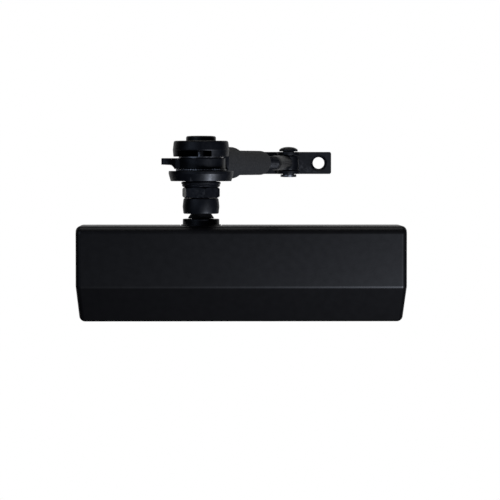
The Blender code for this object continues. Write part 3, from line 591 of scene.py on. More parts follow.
def build_hold_open_nut():
    low, high, _ = stack("hold_open_nut")
    shape = prism(hexagon(NUT_ACROSS_FLATS, NUT_TURN), low, high)
    nut = place("hold_open_nut", shape, "arm_black", AT_ELBOW)
    corner = NUT_ACROSS_FLATS / sqrt(3)
    face = NUT_ACROSS_FLATS / 2 - 0.4
    wide = corner + 2
    fall = (wide - face) * tan(radians(28))
    chamfer = [(0, low), (face, low), (wide, low + fall), (wide, high - fall), (face, high), (0, high)]
    combine(nut, "INTERSECT", turned(chamfer), AT_ELBOW)
    cut(nut, hole(STUD_RADIUS + FIT, low, high, 0.5), AT_ELBOW)
    soften(nut, 0.22, 2, 18.0)
    stand_for_node(nut)


def build_disc_spring():
    low, high, radius = stack("disc_spring")
    inner = STUD_RADIUS + FIT
    dished = [(inner, low + 0.2), (radius - 0.9, low - CLOSE), (radius, low + 0.35)]
    dished += [(radius - 0.15, high + CLOSE), (inner, high + CLOSE)]
    made("disc_spring", spun(dished, 0.15, 3, ring=True), "arm_black", AT_ELBOW)


def build_thrust_collar():
    """A shallow dome with a straight rim."""
    low, high, radius = stack("thrust_collar")
    inner = STUD_RADIUS + FIT
    profile = [(inner, low), (radius - 0.3, low), (radius, low + 0.3), (radius, high - 0.75)]
    profile += arc((radius - 0.7, high - 0.7), 0.7, 0, 70, 5)
    profile += [(inner + 2.5, high + CLOSE), (inner, high + CLOSE)]
    made("thrust_collar", turned(profile, ring=True), "arm_black", AT_ELBOW)


def build_ratchet_disc():
    """A thick disc whose rim leans outwards to a short straight band."""
    low, high, radius = stack("ratchet_disc")
    foot = radius - 1.3
    inner = STUD_RADIUS + FIT
    corners = [(inner, low), (foot, low), (radius, high - 1.9), (radius, high), (inner, high)]
    disc = spun(corners, [0.3, 0.55, 1.2, 0.5, 0.3], 5, True, WIDE_STEPS)
    made("ratchet_disc", disc, "arm_black", AT_ELBOW)


def build_serrated_ring():
    low, high, radius = stack("serrated_ring")
    outline = []
    for turn in angles(SERRATIONS):
        for share, depth in ((0.0, 0.0), (0.2, 0.05), (0.5, 0.85), (0.8, 0.05)):
            at = turn + share * tau / SERRATIONS
            outline.append(((radius - depth) * cos(at), (radius - depth) * sin(at)))
    levels = rims(low - CLOSE, high + CLOSE - CAM_DROP, 0.12, 2)
    ring = place("serrated_ring", slab(outline, levels), "bright_steel", AT_ELBOW)
    cut(ring, hole(STUD_RADIUS + FIT, low, high, 0.2), AT_ELBOW)
    stand_for_node(ring)


def build_cam_plate():
    """A round plate with a stop tab towards -X, cut away below in a hollow curve."""
    low, high, _ = stack("cam_plate")
    low -= CAM_DROP
    high += CAM_RISE
    node_low, node_high = box_mm("cam_plate")
    radius = node_high.x - ELBOW.x
    reach = ELBOW.x - node_low.x
    half = CAM_TAB_HALF_WIDTH
    start = degrees(asin((half + 1.0) / radius))
    outline = arc((0.0, 0.0), radius, -180 + start, 180 - start, 90)
    tab = [(-radius - 0.8, half), (-reach, half), (-reach, -half), (-radius - 0.8, -half)]
    first, last = outline[-1], outline[0]
    outline += rounded([first, *tab, last], [0, 1.6, 2.2, 2.2, 1.6, 0], 6, closed=False)[1:-1]
    cam = place("cam_plate", slab(outline, rims(low, high, 0.5, 4)), "arm_black", AT_ELBOW)
    lip_z = low + 2.5
    hollow = [(-30.0, low - 5), (-30.0, lip_z + 0.3), (-reach, lip_z + 0.3), (-radius - 3.2, lip_z)]
    hollow += [(-radius - 1.6, low + 0.5), (-radius - 1.4, low - 5)]
    hollow = rounded(hollow, [0, 0, 0, 2.5, 1.0, 0], 8)
    cut(cam, prism(hollow, -12.0, 12.0), (ELBOW.x, ELBOW.y, 0.0), ALONG_MINUS_Y)
    cut(cam, hole(STUD_RADIUS + FIT, low, high, 0.3), AT_ELBOW)
    stand_for_node(cam)


def build_friction_washer():
    low, high, radius = stack("friction_washer")
    flat = washer(STUD_NECK_RADIUS + FIT, radius, low - CLOSE + CAM_RISE, high, 0.12)
    made("friction_washer", flat, "bright_steel", AT_ELBOW)


def build_elbow_cap():
    """A riveted disc with a softly domed top."""
    low, high, radius = stack("elbow_cap")
    inner = STUD_NECK_RADIUS + FIT
    roof = high - 0.9
    foot = low - CLOSE
    profile = [(0.0, roof), (inner, roof), (inner, foot), (radius - 0.2, foot), (radius, foot + 0.2)]
    profile += [(radius, high - 1.5)]
    profile += arc((radius - 1.2, high - 1.4), 1.2, 0, 78, 6)
    profile += [(radius - 3.0, high - 0.05), (radius - 5.0, high), (0.0, high)]
    made("elbow_cap", turned(profile), "arm_black", AT_ELBOW)


# Forearm, along its own direction from the elbow

ALONG_FOREARM = Matrix.Rotation(FOREARM_ANGLE, 4, "Z")
SPINE_HALF_ANGLE = radians(38)
SPINE_RADII = (16.5, 21.5)
HEAD_RADIUS = 18.2
HEAD_WINDOW_X = (-14.6, 6.8)
HEAD_WINDOW_HEIGHT = 4.0
SPIGOT_RADIUS = 5.0
SPIGOT_REACH = (18.0, 36.0)
SLEEVE_START = 21.8
SLEEVE_STEP = 62.5
SLEEVE_END = 124.0
SLEEVE_RADII = (10.45, 8.2)
THREAD_START = 88.0
THREAD_END = 155.0
THREAD_RADIUS = 4.65
THREAD_PITCH = 1.5
SHANK_RADIUS = 5.1
EYE_RADIUS = 7.4
EYE_BORE = 5.5
PIN_RADIUS = 4.0


def build_forearm_head():
    """A forged round head with a parting line, a front window and a spine down to the sleeve."""
    low, high = box_mm("forearm_head")
    base = stack("friction_washer")[1] + FIT - CLOSE
    top = high.z
    window_top = base + HEAD_WINDOW_HEIGHT
    parting = base + 0.42 * (top - base)
    at = AT_ELBOW
    lean = HEAD_RADIUS - 0.12
    profile = [(0.0, base), (HEAD_RADIUS - 0.45, base), (lean, parting - 0.25), (HEAD_RADIUS, parting)]
    profile += [(lean, parting + 0.25), (HEAD_RADIUS - 0.75, top), (0.0, top)]
    body = spun(profile, [0, 0.5, 0.1, 0, 0.1, 1.3, 0], 5, around=WIDE_STEPS)
    head = place("forearm_head", body, "arm_black", at)
    half_turn = degrees(SPINE_HALF_ANGLE)
    bridge = arc((0.0, 0.0), SPINE_RADII[1] - 0.3, -half_turn, half_turn, 12) + [(2.0, 8.0), (2.0, -8.0)]
    bridge_rims = [(window_top, 0.0), (top - 3.2, 0.0), (top - 2.2, 0.2), (top - 1.5, 0.6), (top - 1.2, 1.0)]
    join(head, slab(bridge, bridge_rims), at, ALONG_FOREARM)
    inner, outer = SPINE_RADII
    spine = arc((0.0, 0.0), outer, -half_turn, half_turn, 24)
    spine += arc((0.0, 0.0), inner, half_turn, -half_turn, 24)
    join(head, slab(spine, rims(low.z, top - 3.3, 0.4)), at, ALONG_FOREARM)
    spigot = rod(SPIGOT_RADIUS, *SPIGOT_REACH, 0.6)
    join(head, spigot, at_forearm(), ALONG_FOREARM @ ALONG_X)
    left, right = HEAD_WINDOW_X
    corners = [(left, 72.0), (right, 72.0), (right, window_top), (left, window_top)]
    window = rounded(corners, [0, 0, 1.0, 1.0], 5)
    cut(head, prism(window, -9.0, 30.0), at, ALONG_MINUS_Y)
    cut(head, rod(5.2, 70.0, 100.0), at)
    soften(head, 0.3, 2, 50.0)
    stand_for_node(head)


def at_forearm():
    low, high = box_mm("forearm_sleeve")
    return (ELBOW.x, ELBOW.y, (low.z + high.z) / 2)


def build_forearm_sleeve():
    """A cast tube in two diameters with soft shoulders."""
    big, small = SLEEVE_RADII
    bore = SPIGOT_RADIUS + FIT
    thread_bore = THREAD_RADIUS + FIT
    spigot_end = SPIGOT_REACH[1]
    corners = [(big, SLEEVE_START), (big, SLEEVE_STEP - 2.2), (small, SLEEVE_STEP), (small, SLEEVE_END)]
    corners += [(thread_bore, SLEEVE_END), (thread_bore, spigot_end + 2.0), (bore, spigot_end + 1.0)]
    corners.append((bore, SLEEVE_START))
    shape = spun(corners, [0.8, 2.6, 1.5, 1.8, 0.5, 0.2, 0.2, 0.3], 7, ring=True)
    made("forearm_sleeve", shape, "sleeve_grey", at_forearm(), ALONG_FOREARM @ ALONG_X)


def threaded_rod():
    """The adjusting rod along Z: a rolled thread, a run-out and a plain shank that ends inside the eye."""
    around = 48
    per_turn = 8
    depth = 0.75
    turns = (THREAD_END - THREAD_START) / THREAD_PITCH
    rows = int(turns * per_turn)
    rings = []
    for row in range(rows + 1):
        height = THREAD_START + (THREAD_END - THREAD_START) * row / rows
        fade = min(1.0, (height - THREAD_START) / 2.0, (THREAD_END - height) / 2.5)
        ring = []
        for angle in angles(around):
            phase = (height / THREAD_PITCH - angle / tau) % 1.0
            ridge = min(1.0, max(0.0, 2.6 * abs(phase - 0.5) - 0.15))
            radius = THREAD_RADIUS - depth * (1.0 - ridge) * max(0.0, fade)
            ring.append((radius * cos(angle), radius * sin(angle), height))
        rings.append(ring)
    shank = [(THREAD_RADIUS + 0.1, THREAD_END + 0.5), (SHANK_RADIUS - 0.1, THREAD_END + 1.6)]
    shank += [(SHANK_RADIUS, THREAD_END + 2.6), (SHANK_RADIUS, FOREARM_LENGTH - 9.0)]
    shank += [(SHANK_RADIUS - 0.2, FOREARM_LENGTH - 6.5)]
    for radius, height in shank:
        rings.append([(radius * cos(a), radius * sin(a), height) for a in angles(around)])
    return lofted(rings)


def build_forearm_rod():
    low, high = box_mm("eye_bush")
    rod_piece = place("forearm_rod", threaded_rod(), "arm_black", at_forearm(), ALONG_FOREARM @ ALONG_X)
    top, bottom = high.z + 0.2, low.z - 0.2
    join(rod_piece, rod(EYE_RADIUS, bottom, top, 0.6), AT_PIN)
    cut(rod_piece, hole(EYE_BORE, bottom, top, 0.3), AT_PIN)
    stand_for_node(rod_piece)


# Frame shoe

EAR_THICKNESS = 2.4
EAR_RADIUS = 8.0
SHOE_HOLE_REACH = 21.8
SHOE_HOLE_RADIUS = 4.1
SHOE_SINK_RADIUS = 6.0
SHOE_THICKNESS = 2.5


def at_pin():
    low, high = box_mm("shoe_bracket")
    return (PIN.x, PIN.y, (low.z + high.z) / 2)


def build_shoe_bracket():
    """A pressed plate with two ears for the pin and two countersunk screw holes."""
    low, high = box_mm("shoe_bracket")
    half_height = (high.z - low.z) / 2
    back = high.y - PIN.y
    front = back - SHOE_THICKNESS
    outline = rectangle((high.x - low.x) / 2, half_height, 1.4)
    levels = rims(-back, -front, 0.35)
    bracket = place("shoe_bracket", slab(outline, levels), "arm_black", at_pin(), ALONG_MINUS_Y)
    ear = arc((0.0, 0.0), EAR_RADIUS, 180, 360, 40) + [(EAR_RADIUS, back - 1.0), (-EAR_RADIUS, back - 1.0)]
    for side in SIDES:
        faces = sorted((side * half_height, side * (half_height - EAR_THICKNESS)))
        join(bracket, slab(ear, rims(*faces, 0.3)), at_pin())
    for side in SIDES:
        sink = [(0, -back - 5), (SHOE_HOLE_RADIUS, -back - 5), (SHOE_HOLE_RADIUS, -back + 1.0)]
        sink += [(SHOE_SINK_RADIUS, -front + 0.1), (SHOE_SINK_RADIUS + 0.6, -front + 6), (0, -front + 6)]
        at_hole = Vector(at_pin()) + Vector((side * SHOE_HOLE_REACH, 0.0, 0.0))
        cut(bracket, turned(sink, steps=SMALL_STEPS), at_hole, ALONG_MINUS_Y)
    cut(bracket, rod(PIN_RADIUS + FIT, -20, 20), at_pin())
    stand_for_node(bracket)


def build_shoe_pin():
    """A pin with a domed head above the upper ear and a clip below the lower one."""
    low, high, radius = stack("shoe_pin")
    seat = box_mm("shoe_bracket")[1].z + FIT
    dome = high - seat
    profile = [(0, low), (PIN_RADIUS - 0.5, low), (PIN_RADIUS, low + 0.5), (PIN_RADIUS, seat)]
    profile += [(radius - 0.2, seat), (radius, seat + 0.2), (radius, seat + 0.7)]
    quarter = [radians(11 * i) for i in range(1, 9)]
    profile += [(radius * cos(a), seat + 0.7 + (dome - 0.7) * sin(a)) for a in quarter]
    profile.append((0, high))
    made("shoe_pin", turned(profile), "arm_black", AT_PIN)


def build_plain_rings():
    """Bushes, bearings and flat rings: node, bore radius, edge radius, slot and axis."""
    rings = (
        ("bearing_upper", 7.1, 0.3, "bronze", AT_SPINDLE),
        ("bearing_lower", 6.3, 0.3, "bronze", AT_SPINDLE),
        ("arm_washer", 3.3, 0.3, "arm_black", AT_SPINDLE),
        ("elbow_bush", STUD_NECK_RADIUS + FIT, 0.2, "bronze", AT_ELBOW),
        ("eye_bush", PIN_RADIUS + FIT, 0.25, "bronze", AT_PIN),
        ("pin_clip", PIN_RADIUS + FIT, 0.25, "zinc_steel", AT_PIN),
    )
    for node, bore, edge, slot, axis in rings:
        low, high, radius = stack(node)
        made(node, washer(bore, radius, low, high, edge), slot, axis)


# Main arm and spindle

ARM_WAIST = 20.0
ARM_SQUARE = 8.8
SCREW_SOCKET = 5.0
NECK_RADIUS = 6.3
GLAND_BORE = 6.6


def arm_outline():
    """Round at both ends and narrower between them, from the spindle to the elbow along -Y."""
    low, high = box_mm("main_arm")
    half = (high.x - low.x) / 2
    waist = ARM_WAIST / 2
    length = SPINDLE.y - ELBOW.y
    outline = arc((0.0, 0.0), half, 0, 180, 48)
    flank = [(-half, 0.0), (-half, -8.0), (-waist, -26.0), (-waist, 26.0 - length), (-half, 8.0 - length)]
    flank.append((-half, -length))
    left = rounded(flank, [0, 30, 30, 30, 30, 0], 8, closed=False)[1:-1]
    outline += left + arc((0.0, -length), half, 180, 360, 48)
    return outline + [(-x, y) for x, y in reversed(left)]


def build_main_arm():
    """A forged bar: its flanks lean in from a parting line at mid-height."""
    low, high = box_mm("main_arm")
    middle = low.z + 0.47 * (high.z - low.z)
    lean = 0.55
    edge = 0.75
    levels = []
    for z, amount in rims(low.z, high.z, edge, 4):
        levels.append((z, amount + lean * abs(z - middle) / (high.z - middle)))
    levels.insert(len(levels) // 2, (middle, 0.0))
    arm = place("main_arm", slab(arm_outline(), levels), "arm_black", AT_SPINDLE)
    side = ARM_SQUARE / 2 + FIT
    cut(arm, prism(rectangle(side, side, 0.8), 40, 60), AT_SPINDLE)
    cut(arm, hole(STUD_RADIUS + FIT, low.z, high.z, 0.4), AT_ELBOW)
    stand_for_node(arm)


def build_arm_screw():
    low, high, radius = stack("arm_screw")
    head = stack("arm_washer")[1] + FIT
    corners = [(0, low), (3.0, low), (3.0, head), (radius, head), (radius, high), (0, high)]
    shape = spun(corners, [0, 0.5, 0.2, 0.3, 0.8, 0], 5)
    screw = place("arm_screw", shape, "arm_black", AT_SPINDLE)
    cut(screw, prism(hexagon(SCREW_SOCKET), head + 1.6, high + 4), AT_SPINDLE)
    soften(screw, 0.15, 2, 50.0)
    stand_for_node(screw)


def build_pinion_gland_upper():
    """A stepped gland: a base collar on the cover, a flange above it and a bore for the spindle."""
    low, high, radius = stack("pinion_gland_upper")
    collar_top = high - 3.9
    flange = radius - 1.2
    corners = [(GLAND_BORE, low), (flange + 0.1, low), (flange + 0.1, low + 6.2), (radius, low + 6.2)]
    corners += [(radius, collar_top), (flange, collar_top), (flange, high), (GLAND_BORE, high)]
    shape = spun(corners, [0.3, 0.4, 0.2, 0.3, 0.35, 0.25, 0.7, 0.3], 5, ring=True)
    gland = place("pinion_gland_upper", shape, "arm_black", AT_SPINDLE)
    for turn in range(4):
        notch = [(flange - 2.0, -1.4), (flange + 3.0, -1.4), (flange + 3.0, 1.4), (flange - 2.0, 1.4)]
        spin = Matrix.Rotation(radians(30 + 90 * turn), 4, "Z")
        cut(gland, prism(notch, high - 1.7, high + 3), AT_SPINDLE, spin)
    stand_for_node(gland)


def build_spindle_seal():
    low, high, radius = stack("spindle_seal")
    corners = [(GLAND_BORE, low), (radius, low), (radius - 0.7, low + 1.2)]
    corners += [(GLAND_BORE + 0.4, high), (GLAND_BORE, high)]
    shape = spun(corners, [0.1, 0.3, 0.8, 0.15, 0.1], 5, ring=True)
    made("spindle_seal", shape, "rubber", AT_SPINDLE)


# Pinion and rack, with the same tooth form as the model

MODULE = 2.0
PINION_TEETH = 9
PRESSURE_ANGLE = radians(25)
ADDENDUM = 1.5
DEDENDUM = 1.9
PITCH_RADIUS = MODULE * PINION_TEETH / 2
TOOTH_PITCH = pi * MODULE
TOOTH_WIDTH = TOOTH_PITCH / 2 - 0.35
RACK_TEETH = 7
PINION_HALF_HEIGHT = 9.0


def involute(angle):
    return tan(angle) - angle


def pinion_outline():
    """Nine stub teeth, one of them pointing at the rack."""
    base_radius = PITCH_RADIUS * cos(PRESSURE_ANGLE)
    tip_radius = PITCH_RADIUS + ADDENDUM
    flank = []
    for step in range(9):
        radius = base_radius + (tip_radius - base_radius) * step / 8
        spread = TOOTH_WIDTH / (2 * PITCH_RADIUS) + involute(PRESSURE_ANGLE)
        spread -= involute(acos(base_radius / radius))
        flank.append((radius, spread))
    flank.insert(0, (PITCH_RADIUS - DEDENDUM, flank[0][1]))
    outline = []
    for tooth in range(PINION_TEETH):
        middle = tau * tooth / PINION_TEETH - pi / 2
        outline += [(r * cos(middle - s), r * sin(middle - s)) for r, s in flank]
        outline += [(r * cos(middle + s), r * sin(middle + s)) for r, s in reversed(flank)]
    return outline


def build_pinion_spindle():
    low, high, _ = stack("pinion_spindle")
    shoulder = stack("main_arm")[0] - FIT
    corners = [(0, low), (6.0, low), (6.0, -8), (6.8, -8), (6.8, 24.2), (NECK_RADIUS, 24.2)]
    corners += [(NECK_RADIUS, shoulder), (4.2, shoulder), (4.2, shoulder + 2.8), (0, shoulder + 2.8)]
    shape = spun(corners, [0, 0.5, 0.2, 0.3, 0.3, 0.2, 0.5, 0.2, 0.2, 0])
    spindle = place("pinion_spindle", shape, "arm_black", AT_SPINDLE)
    join(spindle, prism(pinion_outline(), -PINION_HALF_HEIGHT, PINION_HALF_HEIGHT), AT_SPINDLE)
    half = ARM_SQUARE / 2
    join(spindle, prism(rectangle(half, half, 0.8), shoulder - 1, high), AT_SPINDLE)
    cut(spindle, rod(3.3, 38.0, 60.0), AT_SPINDLE)
    soften(spindle, 0.2, 2, 50.0)
    stand_for_node(spindle)


# Body, plate and what they hold

BODY_RADIUS = 20.5
BORE_RADIUS = 16.5
PISTON_RADIUS = BORE_RADIUS - FIT
LUG = Vector((84.0, 25.8))
LUG_HOLE_RADIUS = 2.3
DOOR_HOLE = Vector((103.0, 18.0))
DOOR_HOLE_RADIUS = 3.25
CLIP_HOLE_X = 104.5
VALVE_RADIUS = 3.0
SCREW_RADIUS = 2.0
SCREW_HEAD_RADIUS = 3.5


def on_bore(x=0.0):
    return (x, SPINDLE.y, 0.0)


def at_corners(reach):
    return [(x * reach.x, z * reach.y) for x in SIDES for z in SIDES]


def at_valve(side):
    low, high = box_mm("closing_valve")
    return (0.0, (low.y + high.y) / 2, side * (low.z + high.z) / 2)


def build_mounting_plate():
    low, high = box_mm("mounting_plate")
    outline = rectangle(high.x, high.z, 6.0)
    shape = slab(outline, rims(0.0, -low.y, 0.3))
    plate = place("mounting_plate", shape, "zinc_steel", direction=ALONG_MINUS_Y)
    holes = [(x, z, DOOR_HOLE_RADIUS) for x, z in at_corners(DOOR_HOLE)]
    holes += [(x, z, LUG_HOLE_RADIUS) for x, z in at_corners(LUG)]
    holes += [(x * CLIP_HOLE_X, 0.0, LUG_HOLE_RADIUS) for x in SIDES]
    for x, z, radius in holes:
        cut(plate, hole(radius, 0.0, -low.y, 0.3), (x, 0, z), ALONG_MINUS_Y)
    stand_for_node(plate)


def body_outline():
    """The casting's section in depth and height: a flat foot at the back and a round barrel in front."""
    high = box_mm("closer_body")[1]
    foot = 22.0
    outline = arc((SPINDLE.y, 0.0), BODY_RADIUS, 75, 285, 60)
    front = -11.0
    flank = [outline[-1], (SPINDLE.y + 9.0, -foot + 0.4), (front, -foot), (high.y, -foot), (high.y, foot)]
    flank += [(front, foot), (SPINDLE.y + 9.0, foot - 0.4), outline[0]]
    return outline + rounded(flank, [0, 3, 2, 0.8, 0.8, 2, 3, 0], 5, closed=False)[1:-1]


def build_closer_body():
    low, high = box_mm("closer_body")
    back = -high.y
    shape = slab(body_outline(), rims(low.x, high.x, 1.0, 4))
    body = place("closer_body", shape, "cast_aluminium", direction=SECTION_ALONG_X)
    upper = [(0, 5), (18.5, 5), (18.5, 19.0), (16.5, 22.5), (16.5, high.z), (0, high.z)]
    join(body, spun(upper, [0, 0, 3, 3, 0.8, 0], 5), AT_SPINDLE)
    foot_z = stack("pinion_gland_lower")[0]
    lower = [(0, -5), (14.0, -5), (14.0, -19.5), (12.5, -21.5), (12.5, foot_z), (0, foot_z)]
    join(body, spun(lower, [0, 0, 2, 2, 0.8, 0], 5), AT_SPINDLE)
    for x, z in at_corners(LUG):
        join(body, slab(rectangle(6.5, 4.2, 3.0), rims(back, 11.0, 0.4)), (x, 0, z), ALONG_MINUS_Y)
        cut(body, hole(LUG_HOLE_RADIUS, back, 11.0, 0.25), (x, 0, z), ALONG_MINUS_Y)
    cut(body, hole(BORE_RADIUS, low.x, high.x, 0.5, 20.0), on_bore(), ALONG_X)
    way = [(0, -40), (10.2, -40), (10.2, -18), (8, -18), (8, 0), (11.2, 0), (11.2, 18)]
    way += [(13.2, 18), (13.2, 40), (0, 40)]
    cut(body, turned(way), AT_SPINDLE)
    for side in SIDES:
        cut(body, rod(VALVE_RADIUS + FIT, -110, -79.5), at_valve(side), ALONG_X)
    stand_for_node(body)


def build_end_plugs():
    """Plugs with a groove for the seal ring and two holes for a pin spanner."""
    for name, side in NAMED_SIDES:
        direction = ALONG_X if side > 0 else ALONG_MINUS_X
        low, high = box_mm(f"end_plug_{name}")
        length = high.x - low.x
        start = on_bore(low.x if side > 0 else high.x)
        bore = 4.3 if side > 0 else 0.0
        corners = [(bore, 0.0), (PISTON_RADIUS, 0.0), (PISTON_RADIUS, 2.4), (14.5, 2.4), (14.5, 5.0)]
        corners += [(PISTON_RADIUS, 5.0), (PISTON_RADIUS, length), (bore, length)]
        radii = [0, 0.4, 0.15, 0.15, 0.15, 0.15, 0.6, 0]
        shape = spun(corners, radii, ring=bool(bore))
        plug = place(f"end_plug_{name}", shape, "zinc_steel", start, direction)
        for across in (-10.5, 10.5):
            hole_at = (start[0] + side * (length - 3.0), SPINDLE.y + across, 0.0)
            cut(plug, rod(1.8, 0, 5), hole_at, direction)
        soften(plug, 0.15, 2, 60.0)
        stand_for_node(plug)
        ring_low, ring_high = box_mm(f"end_seal_{name}")
        cord = (ring_high.x - ring_low.x) / 2
        ring = [(15.5 + 0.75 * cos(a), cord * sin(a)) for a in angles(16)]
        middle = on_bore((ring_low.x + ring_high.x) / 2)
        made(f"end_seal_{name}", turned(ring, ring=True), "rubber", middle, ALONG_X)


def build_pinion_gland_lower():
    low, high, radius = stack("pinion_gland_lower")
    made("pinion_gland_lower", rod(radius, low, high, 0.5), "arm_black", AT_SPINDLE)


def build_valves():
    for node, side in (("closing_valve", 1), ("latching_valve", -1)):
        low, high = box_mm(node)
        corners = [(0, high.x), (0.9, high.x), (VALVE_RADIUS, high.x - 5)]
        corners += [(VALVE_RADIUS, low.x), (0, low.x)]
        shape = spun(corners, [0, 0.1, 0.3, 0.5, 0], around=48)
        valve = place(node, shape, "bronze", at_valve(side), ALONG_X)
        slot = prism(rectangle(4.0, 0.45), -low.x - 1.2, -low.x + 2.0)
        cut(valve, slot, at_valve(side), ALONG_MINUS_X @ Matrix.Rotation(pi / 2, 4, "Z"))
        stand_for_node(valve)


def small_screw(node, at, head_height, drive, drive_depth):
    """A screw whose shank runs along -Y from the door side, with a drive recess cut in its head."""
    low, high = box_mm(node)
    start, top = -high.y, -low.y
    head = top - head_height
    corners = [(0, start), (SCREW_RADIUS, start), (SCREW_RADIUS, head)]
    corners += [(SCREW_HEAD_RADIUS, head), (SCREW_HEAD_RADIUS, top), (0, top)]
    shape = spun(corners, [0, 0.3, 0.1, 0.2, 0.4, 0], around=SMALL_STEPS)
    screw = place(node, shape, "zinc_steel", at, ALONG_MINUS_Y)
    cut(screw, prism(drive, top - drive_depth, top + 3), at, ALONG_MINUS_Y)
    soften(screw, 0.1, 2, 50.0)
    stand_for_node(screw)


def build_screws():
    for number, (x, z) in enumerate(at_corners(LUG), 1):
        small_screw(f"body_screw_{number}", (x, 0.0, z), 3.5, hexagon(3.0), 2.3)
    for name, side in NAMED_SIDES:
        small_screw(f"clip_screw_{name}", (side * CLIP_HOLE_X, 0.0, 0.0), 2.0, rectangle(0.4, 6.0), 0.8)


def build_cover_clips():
    """Spring-steel angles whose outer leg hooks inside the cover's end."""
    for name, side in NAMED_SIDES:
        low, high = box_mm(f"cover_clip_{name}")
        outer = max(abs(low.x), abs(high.x))
        inner = min(abs(low.x), abs(high.x))
        thick = 1.2
        front = high.y - thick
        corners = [(inner, high.y), (inner, front), (outer - thick, front), (outer - thick, -20.0)]
        corners += [(outer - 0.8, low.y), (outer, low.y + 2.0), (outer, high.y)]
        outline = [(side * x, y) for x, y in rounded(corners, [0.2, 0.2, 0.8, 0.6, 0.0, 0.6, 1.8], 5)]
        if side < 0:
            outline.reverse()
        clip = place(f"cover_clip_{name}", slab(outline, rims(low.z, high.z, 0.2)), "bright_steel")
        at = (side * CLIP_HOLE_X, 0.0, 0.0)
        cut(clip, rod(LUG_HOLE_RADIUS, 0, 12), at, ALONG_MINUS_Y)
        stand_for_node(clip)


def rack_window():
    """The opening in the piston, its front edge cut as a rack."""
    root_y = SPINDLE.y - PITCH_RADIUS - DEDENDUM
    tip_y = SPINDLE.y - PITCH_RADIUS + ADDENDUM
    half_tip = TOOTH_WIDTH / 2 - ADDENDUM * tan(PRESSURE_ANGLE)
    half_root = TOOTH_WIDTH / 2 + DEDENDUM * tan(PRESSURE_ANGLE)
    outline = [(-15.0, -13.3), (-68.0, -13.3), (-68.0, root_y)]
    for tooth in range(RACK_TEETH):
        centre = SPINDLE.x + (tooth + 1.5 - RACK_TEETH) * TOOTH_PITCH
        outline += [(centre - half_root, root_y), (centre - half_tip, tip_y)]
        outline += [(centre + half_tip, tip_y), (centre + half_root, root_y)]
    return outline + [(-15.0, root_y)]


def build_piston():
    low, high = box_mm("piston_rack")
    corners = [(0, low.x), (PISTON_RADIUS, low.x)]
    for node in ("piston_ring_left", "piston_ring_right"):
        ring_low, ring_high = box_mm(node)
        ring = washer(15.1, PISTON_RADIUS + 0.05, ring_low.x, ring_high.x, 0.2)
        made(node, ring, "rubber", on_bore(), ALONG_X)
        start, end = ring_low.x - FIT, ring_high.x + FIT
        corners += [(PISTON_RADIUS, start), (14.8, start), (14.8, end), (PISTON_RADIUS, end)]
    corners += [(PISTON_RADIUS, high.x), (0, high.x)]
    radii = [0, 0.8] + [0.15] * 8 + [0.8, 0]
    piston = place("piston_rack", spun(corners, radii), "bright_steel", on_bore(), ALONG_X)
    cut(piston, prism(rack_window(), -25, 25))
    cut(piston, rod(3.0, -20, 5), on_bore(), ALONG_X)
    soften(piston, 0.15, 2, 50.0)
    stand_for_node(piston)
    valve_low, valve_high = box_mm("check_valve")
    made("check_valve", rod(2.7, valve_low.x, valve_high.x, 0.6), "bronze", on_bore(), ALONG_X)


def build_return_spring():
    """A round-wire compression spring, made at its rest length. The real spring shortens towards its seat as
    the piston slides.
    """
    wire = 2.3
    mean_radius = 12.8
    per_turn = 40
    sides = angles(14)
    across = Vector((1.0, 0.0, 0.0))
    low, high = box_mm("return_spring")
    start = low.x + wire
    length = high.x - low.x - 2 * wire
    turns = 9.5
    rings = []
    for step in range(int(turns * per_turn) + 1):
        turn = tau * step / per_turn
        outward = Vector((0.0, cos(turn), sin(turn)))
        along = start + length * step / (turns * per_turn)
        centre = Vector((along, SPINDLE.y, 0.0)) + outward * mean_radius
        rings.append([centre + (outward * cos(a) + across * sin(a)) * wire for a in sides])
    spring = made("return_spring", lofted(rings), "bright_steel")
    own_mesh(spring)


def build_spring_seat():
    low, high = box_mm("spring_seat")
    step = low.x + 4.0
    corners = [(4.3, low.x), (9.6, low.x), (9.6, step)]
    corners += [(PISTON_RADIUS, step), (PISTON_RADIUS, high.x), (4.3, high.x)]
    shape = spun(corners, [0.3, 0.9, 0.2, 0.4, 0.4, 0.3], ring=True)
    made("spring_seat", shape, "zinc_steel", on_bore(), ALONG_X)


def build_spring_adjuster():
    low, high = box_mm("spring_adjuster")
    head = high.x - 5.0
    corners = [(0, low.x), (4.0, low.x), (4.0, head), (6.5, head), (6.5, high.x), (0, high.x)]
    shape = spun(corners, [0, 0.8, 0.2, 0.3, 0.6, 0])
    adjuster = place("spring_adjuster", shape, "zinc_steel", on_bore(), ALONG_X)
    cut(adjuster, prism(hexagon(5.0), head + 1.5, head + 8), on_bore(), ALONG_X)
    soften(adjuster, 0.12, 2, 50.0)
    stand_for_node(adjuster)


# Stage, light and camera


def plain_floor():
    """A pale round floor below the closer, which hangs on a door."""
    material = bpy.data.materials.new("pale_floor")
    material.use_nodes = True
    shader = material.node_tree.nodes["Principled BSDF"]
    shader.inputs["Base Color"].default_value = (0.80, 0.80, 0.79, 1.0)
    shader.inputs["Roughness"].default_value = 0.85
    shader.inputs["Emission Color"].default_value = (1.0, 1.0, 0.99, 1.0)
    shader.inputs["Emission Strength"].default_value = 0.42
    shape = bmesh.new()
    bmesh.ops.create_circle(shape, cap_ends=True, segments=96, radius=0.45)
    mesh = bpy.data.meshes.new("floor")
    shape.to_mesh(mesh)
    shape.free()
    mesh.materials.append(material)
    floor = bpy.data.objects.new("floor", mesh)
    floor.location = (0.0, -0.10, -0.32)
    floor.visible_diffuse = False
    floor.visible_glossy = False
    bpy.context.scene.collection.objects.link(floor)


